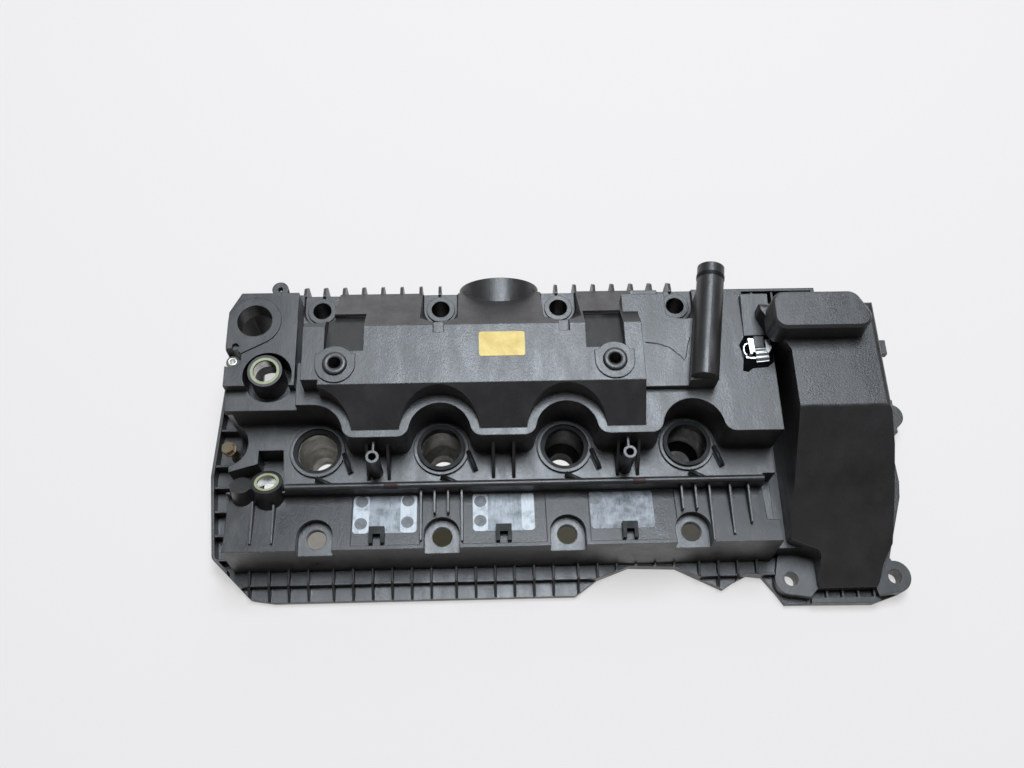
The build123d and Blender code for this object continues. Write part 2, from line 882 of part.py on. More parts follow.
with BuildPart() as flange_grid:
    with BuildSketch(Plane.YZ.offset(hull_left - 20)):
        with BuildLine():
            Polyline(
                (skirt_foot_y + wall, 0),
                (skirt_foot_y + wall, ledge_z),
                (ledge_y + rib_t / 2, ledge_z),
                (ledge_y + rib_t / 2, bar_z),
                (ledge_y - rib_t / 2, bar_z),
                (ledge_y - rib_t / 2, 0),
                close=True,
            )
        make_face()
    extrude(amount=ear_x - hull_left + 20)
    for x in rib_xs:
        with BuildSketch(Plane.YZ.offset(x - rib_t / 2)):
            with BuildLine():
                Polyline(
                    (skirt_foot_y + wall, 0),
                    (skirt_foot_y + wall, skirt_foot_z),
                    (skirt_foot_y, skirt_foot_z),
                    (ledge_y, bar_z + 1.5),
                    (flange_front_y + 1, flange_t + 1.5),
                    (flange_front_y + 1, 0),
                    close=True,
                )
            make_face()
        extrude(amount=rib_t)
    extrude(flange_sketch, amount=skirt_foot_z, dir=(0, 0, 1), mode=Mode.INTERSECT)

with BuildPart() as side_rim:
    with BuildSketch():
        add(flange_edge_plan(0))
        add(flange_edge_plan(side_rim_t), mode=Mode.SUBTRACT)
        with Locations((hull_left - 4, 0)):
            Rectangle(dome_right - hull_left + 90, 400, align=(Align.MIN, Align.CENTER), mode=Mode.SUBTRACT)
    extrude(amount=side_rim_z)
    with BuildSketch():
        with Locations(*[(flange_left, y) for y in side_rib_ys]):
            Rectangle(hull_left - flange_left + wall / 2, rib_t, align=(Align.MIN, Align.CENTER))
        add(flange_sketch, mode=Mode.INTERSECT)
    extrude(amount=side_rim_z - 2)
    # bulge and lug beside the leaning flank
    with BuildSketch():
        add(flange_edge_plan(0))
        with Locations((dome_right - 2 * wall, lug_y + lug_r)):
            Rectangle(
                2 * drum_reach,
                lug_y + lug_r - skirt_foot_y,
                align=(Align.MIN, Align.MAX),
                mode=Mode.INTERSECT,
            )
    extrude(amount=drum_z)
    with BuildSketch():
        with Locations((dome_right + drum_reach, lug_y)):
            Circle(lug_r)
            Rectangle(lug_base_w, lug_base_l)
    extrude(amount=lug_z)

with BuildPart() as ear_row:
    with BuildSketch():
        with Locations((ear_x + ear_row_gap, ear_row_front_y)):
            Rectangle(ear_row_w, ear_row_t, align=(Align.MIN, Align.MIN))
        with Locations(*[(ear_x + ear_rib_gap + ear_rib_pitch * k, dome_nose_y) for k in range(ear_ribs)]):
            Rectangle(rib_t, 2 * ear_row_t, align=(Align.CENTER, Align.CENTER))
    extrude(amount=ear_row_z + 1)
    extrude(flange_sketch, amount=ear_row_z, dir=(0, 0, 1), mode=Mode.INTERSECT)

with BuildPart() as corner_ribs_inside:
    with BuildSketch(Plane.XY.offset(corner_floor_z - wall / 2)):
        with Locations(*[(shelf_right - wall + corner_rib_pitch * k, rear_y - wall / 2) for k in range(corner_ribs)]):
            Rectangle(rib_t, rear_y - corner_front_y, align=(Align.CENTER, Align.MAX))
    extrude(amount=rear_deck_z - corner_floor_z)

with BuildPart() as rear_fins:
    for x in fin_xs:
        with BuildSketch(Plane.YZ.offset(x - fin_t / 2)) as fin_section:
            with BuildLine():
                Polyline(
                    (rear_y - wall / 2, flange_t - 1),
                    (rear_y - wall / 2, rear_deck_z),
                    (rear_y, rear_deck_z),
                    (rear_y + fin_reach * 0.55, rear_deck_z - 2),
                    (rear_y + fin_reach, fin_tip_z),
                    (rear_y + fin_reach, flange_t - 1),
                    close=True,
                )
            make_face()
        extrude(amount=fin_t)

with BuildPart() as cap:
    extrude(cap_plan(0), amount=cap_z - dome_z + 2 * wall, dir=(0, 0, 1))
    chamfer(cap.faces().sort_by(Axis.Z)[-1].edges(), cap_edge)
    extrude(cap_plan(wall), amount=cap_z - dome_z + wall, dir=(0, 0, 1), mode=Mode.SUBTRACT)

with BuildPart() as deck_details:
    # gussets in pairs between the wells
    for mid in mid_xs:
        for side in (-1, 1):
            with BuildSketch(Plane.YZ.offset(mid + side * gusset_gap / 2 - gusset_t / 2)):
                with BuildLine():
                    Polyline(
                        (shelf_y + wall / 2, deck_z - 1),
                        (shelf_y + wall / 2, deck_z + gusset_rise),
                        (shelf_y, deck_z + gusset_rise),
                        (gusset_foot_y, deck_z),
                        (gusset_foot_y, deck_z - 1),
                        close=True,
                    )
                make_face()
            extrude(amount=gusset_t)
    # slanted tabs beside each well
    with BuildSketch(Plane.XY.offset(deck_z - 1)):
        for x in well_xs:
            for start, end in (side_tab, front_tab):
                with BuildLine():
                    Line((x + start[0], start[1]), (x + end[0], end[1]))
                trace(line_width=tab_t)
    extrude(amount=tab_h + 1)
    # tongue over the shelf's end
    section_block(
        [
            (tongue_front_y, shelf_z - 1),
            (tongue_front_y, shelf_z + 1),
            (tongue_rear_y, tongue_z),
            (tongue_rear_y, shelf_z - 1),
        ],
        shelf_right - tongue_w,
        shelf_right,
        0,
    )
    # posts
    post_xs = [mid + post_shift for mid in (mid_xs[0], mid_xs[-1])]
    with BuildSketch(Plane.XY.offset(deck_z - 1)):
        with Locations(*[(x, post_y) for x in post_xs]):
            Circle(post_r)
            Circle(post_bore_r, mode=Mode.SUBTRACT)
    extrude(amount=post_z - deck_z + 1)
    with BuildSketch(Plane.XY.offset(deck_z - 1)):
        with Locations(*[(x, shelf_y + wall / 2) for x in post_xs]):
            Rectangle(gusset_t - 0.6, shelf_y + wall / 2 - post_y - post_r + 0.5, align=(Align.CENTER, Align.MAX))
    extrude(amount=post_z - deck_z - 5)
    # ribs, hooks and front rims on the terrace
    with BuildSketch(Plane.XY.offset(terrace_foot_z - 1)):
        for x, y_from, y_to in terrace_ribs:
            with Locations((x, (y_from + y_to) / 2)):
                Rectangle(terrace_rib_t, y_from - y_to)
        with Locations(*[(x, hook_y) for x in hook_xs]):
            with Locations((-hook_w / 2 + 1.5, 0), (hook_w / 2 - 1.5, 0)):
                Rectangle(3, hook_l)
            with Locations((0, hook_l / 2 - 1.5)):
                Rectangle(hook_w, 3)
    extrude(amount=deck_z + 2 - terrace_foot_z)
    # rail
    with BuildSketch(Plane.YZ.offset(rail_start)):
        with Locations((rail_y, deck_z)):
            SlotCenterToCenter(4 * rail_r, 2 * rail_r, rotation=90)
    extrude(amount=rail_end - rail_start)

with BuildPart() as seats_inside:
    with BuildSketch():
        with Locations(*front_bolts):
            RegularPolygon(front_column_r, column_sides, major_radius=False)
    extrude(amount=front_seat_z - wall / 2)
    with BuildSketch():
        with Locations(*rear_bolts):
            RegularPolygon(rear_boss_r, column_sides, major_radius=False)
    extrude(amount=rear_seat_z - wall / 2)
    with BuildSketch(Plane.XY.offset(rear_seat_z - wall / 2)):
        with Locations(*rear_bolts):
            Circle(rear_boss_r)
    extrude(amount=rear_boss_rise + wall / 2)
    with BuildSketch(Plane.XY.offset(deck_z - guide_depth)):
        with Locations(*[(x, 0) for x in well_xs]):
            RegularPolygon(collar_r, core_sides, major_radius=False)
    extrude(amount=guide_depth - wall / 2)
    with BuildSketch(Plane.XY.offset(deck_z - wall / 2)):
        with Locations(*[(x, 0) for x in well_xs]):
            Circle(collar_r)
    extrude(amount=collar_rise + wall / 2)
    with BuildSketch(Plane.XY.offset(shelf_z - vent_depth)):
        with Locations((vent_x, vent_y)):
            Circle(vent_r + wall)
    extrude(amount=vent_depth)
    with BuildSketch(Plane.XY.offset(shelf_z - wall / 2)):
        with Locations((vent_x, vent_y)):
            Circle(vent_flange_r)
        with Locations((vent_screw_x, vent_screw_y)):
            Circle(vent_screw_r)
        make_hull()
        with Locations((upright_screw_x, upright_screw_y)):
            Circle(notch_r, mode=Mode.SUBTRACT)
    extrude(amount=wall / 2 + pad_rise)
    with BuildSketch(Plane.XY.offset(shelf_z - 2 * wall)):
        with Locations((vent_ear_x, vent_ear_y)):
            Circle(vent_ear_r)
    extrude(amount=2 * wall)
    with BuildSketch(Plane.XY.offset(sensor_moat_z - wall)):
        with Locations((sensor_x, sensor_y)):
            Circle(sensor_r)
    extrude(amount=shelf_z - sensor_moat_z + wall)
    with BuildSketch(Plane.XY.offset(box_z - pad_hole_depth - wall)):
        with Locations(*[(x, pad_y) for x in box_pad_xs]):
            Circle(pad_hole_r + wall)
    extrude(amount=pad_hole_depth)
    with BuildSketch(Plane.XY.offset(box_z - wall / 2)):
        with Locations(*[(x, pad_y) for x in box_pad_xs]):
            Circle(box_pad_r)
            Rectangle(2 * box_pad_r, box_pad_l, align=(Align.CENTER, Align.MIN))
    extrude(amount=wall / 2 + pad_rise)

with BuildPart() as ports_outside:
    with BuildSketch(port_plane):
        Circle(motor_port_r)
    extrude(amount=-motor_port_length)
    with BuildSketch(pipe_plane):
        Circle(pipe_r)
    extrude(amount=pipe_length)
    with BuildSketch(Plane.XY.offset(shelf_z - wall)):
        with BuildLine():
            Polyline(
                (breather_right - pipe_r, box_front_y),
                (breather_right + pipe_r, box_front_y),
                (breather_right + pipe_r + saddle_l * tan(radians(pipe_yaw)), box_front_y + saddle_l),
                (breather_right - pipe_r + saddle_l * tan(radians(pipe_yaw)), box_front_y + saddle_l),
                close=True,
            )
        make_face()
    extrude(amount=pipe_z - shelf_z + wall)
    with BuildSketch(low_port_plane):
        Circle(low_sensor_r)
    extrude(amount=-low_port_l)
    with BuildSketch(low_port_plane.offset(-wall)):
        Rectangle(lobe_reach, lobe_r, align=(Align.MAX, Align.CENTER))
        with Locations((-lobe_reach, 0)):
            Circle(lobe_r)
    extrude(amount=wall - low_port_l)
    # seats of the two loose screws
    with BuildSketch(upright_seat):
        Circle(screw_boss_r)
    extrude(amount=notch_z - upright_seat_z - wall / 2)
    with BuildSketch(leaning_seat):
        Circle(screw_boss_r)
    extrude(amount=flange_t / 2 - leaning_seat_z)
    # plate at the rear of the leaning flank
    with BuildSketch(Plane.XY.offset(tab_plate_z)):
        with Locations((dome_right + tab_plate_reach, tab_plate_y)):
            Rectangle(dome_waist_out + tab_plate_reach, tab_plate_w, align=(Align.MAX, Align.MAX))
    extrude(amount=tab_plate_t)

with BuildPart() as sealing_rim:
    with BuildSketch():
        add(foot_plan(0))
        add(foot_plan(rim_w), mode=Mode.SUBTRACT)
    extrude(amount=flange_t)

with BuildPart() as openings:
    with BuildSketch(Plane.XY.offset(-1)):
        with Locations(*front_bolts):
            Circle(front_hole_r)
        with Locations(*rear_bolts):
            Circle(rear_hole_r)
        with Locations((ear_x, ear_y), (ear_x + ear_spacing, ear_y)):
            Circle(ear_hole_r)
    extrude(amount=rear_deck_z + 10)
    with BuildSketch(Plane.XY.offset(deck_z - guide_depth - 1)):
        with Locations(*[(x, 0) for x in well_xs]):
            Circle(well_bore_r)
    extrude(amount=guide_depth + collar_rise + 2)
    with BuildSketch(port_plane.offset(1)):
        Circle(motor_port_bore_r)
    extrude(amount=-motor_port_length - 6)
    with BuildSketch(pipe_plane.offset(wall)):
        Circle(pipe_bore_r)
    extrude(amount=pipe_length)
    with BuildSketch(pipe_plane.offset(pipe_length - pipe_collar)):
        Circle(pipe_r + 1)
        Circle(pipe_groove_r, mode=Mode.SUBTRACT)
    extrude(amount=-pipe_groove_w)
    with BuildSketch(Plane.XY.offset(shelf_z - vent_depth - 1)):
        with Locations((vent_x, vent_y)):
            Circle(vent_r)
        with Locations((vent_ear_x, vent_ear_y)):
            Circle(vent_ear_hole_r)
    extrude(amount=vent_depth + 10)
    with BuildSketch(Plane.XY.offset(sensor_moat_z - wall - 1)):
        with Locations((sensor_x, sensor_y)):
            Circle(sensor_bore_r)
    extrude(amount=shelf_z - sensor_moat_z + 2 * wall)
    with BuildSketch(Plane.XY.offset(shelf_z + pad_rise - vent_screw_hole_depth)):
        with Locations((vent_screw_x, vent_screw_y)):
            Circle(vent_screw_hole_r)
    extrude(amount=2 * vent_screw_hole_depth)
    with BuildSketch(low_port_plane.offset(1)):
        Circle(low_sensor_bore_r)
    extrude(amount=-40)
    with BuildSketch(Plane.XY.offset(box_z - pad_hole_depth)):
        with Locations(*[(x, pad_y) for x in box_pad_xs]):
            Circle(pad_hole_r)
    extrude(amount=pad_hole_depth + 10)
    with BuildSketch(Plane.XY.offset(-1)):
        add(foot_plan(groove_in).moved(Location((0, 0, -1))))
        add(foot_plan(groove_in + groove_w).moved(Location((0, 0, -1))), mode=Mode.SUBTRACT)
    extrude(amount=groove_depth + 1)
    # sunken fields of the terrace
    fall = (terrace_lip_z - terrace_foot_z) / (rail_y - rail_r - skirt_lip_y)
    panel_rear_z = terrace_foot_z + fall * (rail_y - rail_r - panel_rear_y) - panel_depth
    panel_front_z = terrace_foot_z + fall * (rail_y - rail_r - panel_front_y) - panel_depth
    for x_from, x_to in panels:
        section_block(
            [
                (panel_rear_y, panel_rear_z),
                (panel_front_y, panel_front_z),
                (panel_front_y, terrace_lip_z + wall),
                (panel_rear_y, terrace_lip_z + wall),
            ],
            x_from,
            x_to,
            0,
        )
    # grooves beside the rail
    with BuildSketch(Plane.YZ.offset(rail_start)):
        with Locations((rail_y + rail_r, deck_z)):
            Rectangle(2, 4, align=(Align.MIN, Align.CENTER))
    extrude(amount=rail_end - rail_start)

with BuildPart() as cover_shell:
    extrude(flange_sketch, amount=flange_t, dir=(0, 0, 1))
    extrude(ear_sketch, amount=ear_z, dir=(0, 0, 1))
    add(hull_outside)
    add(ports_outside.part)
    add(hull_inside, mode=Mode.SUBTRACT)
    add([cap.part, flange_grid.part, side_rim.part, rear_fins.part])
    add([seats_inside.part, sealing_rim.part, ear_row.part, corner_ribs_inside.part])
    add(openings.part, mode=Mode.SUBTRACT)
    add(deck_details.part)

cover_shell.part.label = "cover_shell"

# ---------------------------------------------------------------- perimeter gasket
with BuildPart() as perimeter_gasket:
    with BuildSketch():
        add(foot_plan(groove_in))
        add(foot_plan(groove_in + groove_w), mode=Mode.SUBTRACT)
    extrude(amount=groove_depth)
perimeter_gasket.part.label = "perimeter_gasket"


# ---------------------------------------------------------------- plug tubes and their seals
with BuildPart() as spark_tubes:
    for x in well_xs:
        with BuildSketch(Plane.XZ):
            with BuildLine():
                Polyline(
                    (x + tube_neck_r, 0),
                    (x + tube_neck_r, tube_neck_l),
                    (x + tube_r, tube_neck_l + tube_cone_l),
                    (x + tube_r, tube_top_z),
                    (x + tube_r - tube_wall, tube_top_z),
                    (x + tube_r - tube_wall, tube_neck_l + tube_cone_l),
                    (x + tube_neck_r - tube_wall, tube_neck_l),
                    (x + tube_neck_r - tube_wall, 0),
                    close=True,
                )
            make_face()
        revolve(axis=Axis((x, 0, 0), (0, 0, 1)))
spark_tubes.part.label = "spark_tubes"

with BuildPart() as tube_seals:
    for x, drop in zip(well_xs, seal_drops):
        top = collar_z - drop
        with BuildSketch(Plane.XZ):
            with BuildLine():
                Polyline(
                    (x + tube_r, top - seal_h),
                    (x + well_bore_r, top - seal_h),
                    (x + well_bore_r, top),
                    (x + tube_r - seal_lip, top),
                    (x + tube_r - seal_lip, tube_top_z),
                    (x + tube_r, tube_top_z),
                    close=True,
                )
            make_face()
        revolve(axis=Axis((x, 0, 0), (0, 0, 1)))
tube_seals.part.label = "tube_seals"

# ---------------------------------------------------------------- sensor ports
with BuildPart() as upper_sensor_liner:
    with BuildSketch(Plane.XY.offset(shelf_z - liner_l)):
        with Locations((sensor_x, sensor_y)):
            Circle(sensor_bore_r)
            Circle(sensor_bore_r - liner_t, mode=Mode.SUBTRACT)
    extrude(amount=liner_l - ring_d)
upper_sensor_liner.part.label = "upper_sensor_liner"

with BuildPart() as upper_sensor_ring:
    with BuildSketch(Plane.XY.offset(shelf_z - ring_d)):
        with Locations((sensor_x, sensor_y)):
            Circle(sensor_bore_r)
            Circle(sensor_bore_r - ring_d, mode=Mode.SUBTRACT)
    extrude(amount=ring_d)
upper_sensor_ring.part.label = "upper_sensor_ring"

with BuildPart() as lower_sensor_liner:
    with BuildSketch(low_port_plane.offset(-liner_l)):
        Circle(low_sensor_bore_r)
        Circle(low_sensor_bore_r - liner_t, mode=Mode.SUBTRACT)
    extrude(amount=liner_l - ring_d)
lower_sensor_liner.part.label = "lower_sensor_liner"

with BuildPart() as lower_sensor_ring:
    with BuildSketch(low_port_plane.offset(-ring_d)):
        Circle(low_sensor_bore_r)
        Circle(low_sensor_bore_r - ring_d, mode=Mode.SUBTRACT)
    extrude(amount=ring_d)
lower_sensor_ring.part.label = "lower_sensor_ring"


# ---------------------------------------------------------------- label
with BuildPart() as blank_label:
    with BuildSketch(Plane.XY.offset(box_z)):
        with Locations((motor_x, label_y)):
            RectangleRounded(label_w, label_h, 2)
    extrude(amount=label_t)
blank_label.part.label = "blank_label"

# ---------------------------------------------------------------- small fittings
with BuildPart() as breather_ring:
    with BuildSketch(pipe_plane.offset(pipe_length - pipe_collar)):
        Circle(pipe_r + pipe_ring_proud)
        Circle(pipe_groove_r, mode=Mode.SUBTRACT)
    extrude(amount=-pipe_groove_w)
breather_ring.part.label = "breather_ring"

silver_screw = washer_screw(upright_seat, upright_screw_z - upright_seat_z)
silver_screw.part.label = "silver_screw"

brass_screw = washer_screw(leaning_seat, leaning_screw_l)
brass_screw.part.label = "brass_screw"

with BuildPart() as spring_clip:
    with BuildSketch(Plane.YZ.offset(shelf_right - clip_gap - clip_w)):
        with BuildLine():
            Polyline(
                (clip_front_y, shelf_z),
                (clip_front_y, tongue_z),
                (clip_rear_y, tongue_z),
                (clip_rear_y, shelf_z),
                (clip_rear_y - clip_t, shelf_z),
                (clip_rear_y - clip_t, tongue_z - clip_t),
                (clip_front_y + clip_t, tongue_z - clip_t),
                (clip_front_y + clip_t, shelf_z),
                close=True,
            )
        make_face()
    extrude(amount=clip_w)
    with BuildSketch(Plane.XY.offset(shelf_z - clip_t)):
        with Locations((shelf_right - clip_gap - clip_w / 2, clip_front_y - clip_t)):
            Rectangle(
                clip_w - 2 * clip_leg_w,
                (clip_rear_y - clip_front_y) / 2,
                align=(Align.CENTER, Align.MIN),
            )
    extrude(amount=tongue_z, mode=Mode.SUBTRACT)
spring_clip.part.label = "spring_clip"

os.makedirs("parts", exist_ok=True)
pieces = (
    cover_shell,
    perimeter_gasket,
    spark_tubes,
    tube_seals,
    upper_sensor_liner,
    upper_sensor_ring,
    lower_sensor_liner,
    lower_sensor_ring,
    blank_label,
    breather_ring,
    silver_screw,
    brass_screw,
    spring_clip,
)
for piece in pieces:
    export_step(piece.part, f"parts/{piece.part.label}.step")
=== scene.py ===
"""Looks of a moulded cylinder head cover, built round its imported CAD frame.

The scene is in metres in the frame of the part: the origin lies on the axis of the first plug
well in the plane of the sealing face, +X runs to the timing end, +Y to the intake side, +Z up.
The small parts are typed in millimetres and brought to metres by MM.
"""

from __future__ import annotations

import json
import logging
import math
from abc import ABC, abstractmethod
from collections.abc import Iterable
from dataclasses import dataclass
from enum import Enum
from functools import cached_property
from typing import Protocol

import bmesh
import bpy
from mathutils import Matrix, Vector

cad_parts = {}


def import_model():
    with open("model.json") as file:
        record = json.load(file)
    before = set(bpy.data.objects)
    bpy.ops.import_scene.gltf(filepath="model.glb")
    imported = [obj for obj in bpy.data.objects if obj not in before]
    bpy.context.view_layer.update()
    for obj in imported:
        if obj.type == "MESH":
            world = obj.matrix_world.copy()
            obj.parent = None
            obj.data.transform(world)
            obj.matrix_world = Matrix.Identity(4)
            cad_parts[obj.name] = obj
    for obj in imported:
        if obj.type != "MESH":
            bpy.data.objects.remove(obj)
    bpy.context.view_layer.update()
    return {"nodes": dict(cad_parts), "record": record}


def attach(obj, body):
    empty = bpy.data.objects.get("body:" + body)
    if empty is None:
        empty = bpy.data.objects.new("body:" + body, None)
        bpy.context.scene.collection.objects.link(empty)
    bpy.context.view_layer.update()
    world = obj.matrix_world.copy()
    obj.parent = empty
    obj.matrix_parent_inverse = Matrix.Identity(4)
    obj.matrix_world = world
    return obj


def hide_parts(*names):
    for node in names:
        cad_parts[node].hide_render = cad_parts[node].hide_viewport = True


LOG = logging.getLogger("cover")
MM = 0.001
WELLS = (0.0, 98.0, 196.0, 294.0)
NOISE_CORE = (0.3, 0.7)  # most of what a noise gives lies between these
MIX_INPUTS = (0, 6, 7)  # share and both colours of a colour mix
MIX_RESULT = 2
BEVEL_SAMPLES = 4

Colour = tuple[float, float, float]
Point = tuple[float, float, float]
Flat = tuple[float, float]
Range = tuple[float, float]
Socket = bpy.types.NodeSocket
Mesh = bmesh.types.BMesh


class Grain(Enum):
    """Stretch of a metal's fine lines along its three axes."""

    DRAWN = (1.0, 1.0, 0.06)
    SMOOTH = (1.0, 1.0, 1.0)


class Graph:
    """A node material, or a world, under construction."""

    def __init__(self, name: str, owner: bpy.types.World | None = None) -> None:
        """Start with an empty tree.

        Args:
            name: Name of the material.
            owner: The world, if the tree isn't for a material.
        """
        self.owner = owner or bpy.data.materials.new(name)
        self.owner.use_nodes = True
        self.tree = self.owner.node_tree
        self.tree.nodes.clear()

    @cached_property
    def place(self) -> Socket:
        """Coordinates of the object, made when first asked for."""
        return self.add("ShaderNodeTexCoord").outputs["Object"]

    def add(self, kind: str, **settings: object) -> bpy.types.Node:
        """Add a node and set its properties.

        Args:
            kind: Type name of the node.
            settings: Properties to set on the node.

        Returns:
            The new node.
        """
        node = self.tree.nodes.new(kind)
        for key, value in settings.items():
            setattr(node, key, value)
        return node

    def feed(self, socket: Socket, value: Socket | float | tuple[float, ...]) -> None:
        """Link a socket to another one, or write a plain value into it.

        Args:
            socket: The input to fill.
            value: An output socket, a number or a colour.
        """
        if isinstance(value, bpy.types.NodeSocket):
            self.tree.links.new(value, socket)
        elif isinstance(value, tuple):
            socket.default_value = (*value, 1.0)
        else:
            socket.default_value = value

    def math(self, operation: str, *values: Socket | float) -> Socket:
        """Combine values with one Math node.

        Args:
            operation: Name of the operation.
            values: Its inputs.

        Returns:
            The result.
        """
        node = self.add("ShaderNodeMath", operation=operation)
        for socket, value in zip(node.inputs, values):
            self.feed(socket, value)
        return node.outputs[0]

    def stretched(self, scale: Point) -> Socket:
        """Object coordinates, scaled along each axis."""
        node = self.add("ShaderNodeMapping")
        self.feed(node.inputs["Vector"], self.place)
        node.inputs["Scale"].default_value = scale
        return node.outputs["Vector"]

    def noise(
        self, size: float, detail: float = 3.0, rough: float = 0.5, place: Socket | None = None
    ) -> Socket:
        """Noise with blobs of a given size.

        Args:
            size: Rough width of a blob in metres.
            detail: Number of finer layers.
            rough: Weight of the finer layers.
            place: Coordinates, if not the object's own.

        Returns:
            The factor output, about 0 to 1.
        """
        node = self.add("ShaderNodeTexNoise")
        self.feed(node.inputs["Vector"], place or self.place)
        node.inputs["Scale"].default_value = 1 / size
        node.inputs["Detail"].default_value = detail
        node.inputs["Roughness"].default_value = rough
        return node.outputs["Fac"]

    def band(self, value: Socket, given: Range, wanted: Range = (0.0, 1.0)) -> Socket:
        """Stretch a range of a value onto another one, clamped.

        Args:
            value: The input.
            given: Inputs that give the ends of the wanted range.
            wanted: The results at those inputs.

        Returns:
            The stretched value.
        """
        node = self.add("ShaderNodeMapRange")
        ends = zip(("From Min", "From Max", "To Min", "To Max"), (*given, *wanted))
        for name, number in ends:
            node.inputs[name].default_value = number
        self.feed(node.inputs["Value"], value)
        return node.outputs["Result"]

    def around(self, value: Socket, given: Range, middle: float, spread: Range) -> Socket:
        """Let a value swing a number down and up.

        Args:
            value: The input.
            given: Inputs at the two ends of the swing.
            middle: The number.
            spread: How far it goes at each end.

        Returns:
            The number as it varies.
        """
        return self.band(value, given, (middle + spread[0], middle + spread[1]))

    def blend(self, share: Socket, first: Socket | Colour, second: Socket | Colour) -> Socket:
        """Mix two colours.

        Args:
            share: How much of the second shows.
            first: Colour at 0.
            second: Colour at 1.

        Returns:
            The mixed colour.
        """
        node = self.add("ShaderNodeMix", data_type="RGBA")
        for index, value in zip(MIX_INPUTS, (share, first, second)):
            self.feed(node.inputs[index], value)
        return node.outputs[MIX_RESULT]

    def axis(self, vector: Socket, name: str) -> Socket:
        """One coordinate of a vector, by its capital letter."""
        split = self.add("ShaderNodeSeparateXYZ")
        self.feed(split.inputs[0], vector)
        return split.outputs[name]

    def upward(self) -> Socket:
        """How far the surface faces up, from 0 to 1."""
        normal = self.add("ShaderNodeNewGeometry").outputs["Normal"]
        return self.math("MAXIMUM", self.axis(normal, "Z"), 0.0)

    def join(self, share: Socket, first: bpy.types.Node, second: bpy.types.Node, out: str) -> None:
        """Mix two shaders into the output.

        Args:
            share: How much of the second shows.
            first: The shader at 0.
            second: The shader at 1.
            out: Type name of the output node.
        """
        mix = self.add("ShaderNodeMixShader")
        for index, value in enumerate((share, first.outputs[0], second.outputs[0])):
            self.feed(mix.inputs[index], value)
        self.feed(self.add(out).inputs["Surface"], mix.outputs[0])

    def pale(
        self, share: Socket, paper: Socket | Colour, tone: Socket | Colour
    ) -> bpy.types.Material:
        """Join plain paper and the tone it shows where it is looked at.

        Args:
            share: How much of the tone shows.
            paper: Colour of the paper under the lamps.
            tone: The tone it shows by itself.

        Returns:
            The finished material.
        """
        plain, glow = self.add("ShaderNodeBsdfDiffuse"), self.add("ShaderNodeEmission")
        self.feed(plain.inputs["Color"], paper)
        self.feed(glow.inputs["Color"], tone)
        self.join(share, plain, glow, "ShaderNodeOutputMaterial")
        return self.owner

    def finish(
        self,
        colour: Socket,
        rough: Socket,
        heights: tuple[tuple[Socket, float], ...],
        edge: float = 0.0,
        **fixed: float,
    ) -> bpy.types.Material:
        """Join everything in one Principled shader.

        Args:
            colour: Base colour.
            rough: Roughness.
            heights: Bump heights with their depth in metres, coarse first.
            edge: Radius by which sharp edges look rounded.
            fixed: Constants for the shader's own sockets.

        Returns:
            The finished material.
        """
        shader = self.add("ShaderNodeBsdfPrincipled")
        self.feed(shader.inputs["Base Color"], colour)
        self.feed(shader.inputs["Roughness"], rough)
        for name, number in fixed.items():
            shader.inputs[name].default_value = number
        normal: Socket | None = None
        if edge:
            bevel = self.add("ShaderNodeBevel", samples=BEVEL_SAMPLES)
            bevel.inputs["Radius"].default_value = edge
            normal = bevel.outputs["Normal"]
        for height, depth in heights:
            bump = self.add("ShaderNodeBump")
            bump.inputs["Distance"].default_value = depth
            self.feed(bump.inputs["Height"], height)
            if normal:
                self.feed(bump.inputs["Normal"], normal)
            normal = bump.outputs["Normal"]
        self.feed(shader.inputs["Normal"], normal)
        out = self.add("ShaderNodeOutputMaterial")
        self.feed(out.inputs["Surface"], shader.outputs["BSDF"])
        return self.owner


class Finish(Protocol):
    """What a piece can wear."""

    @property
    def name(self) -> str:
        """Name of the material."""

    def material(self) -> bpy.types.Material:
        """Build the material."""


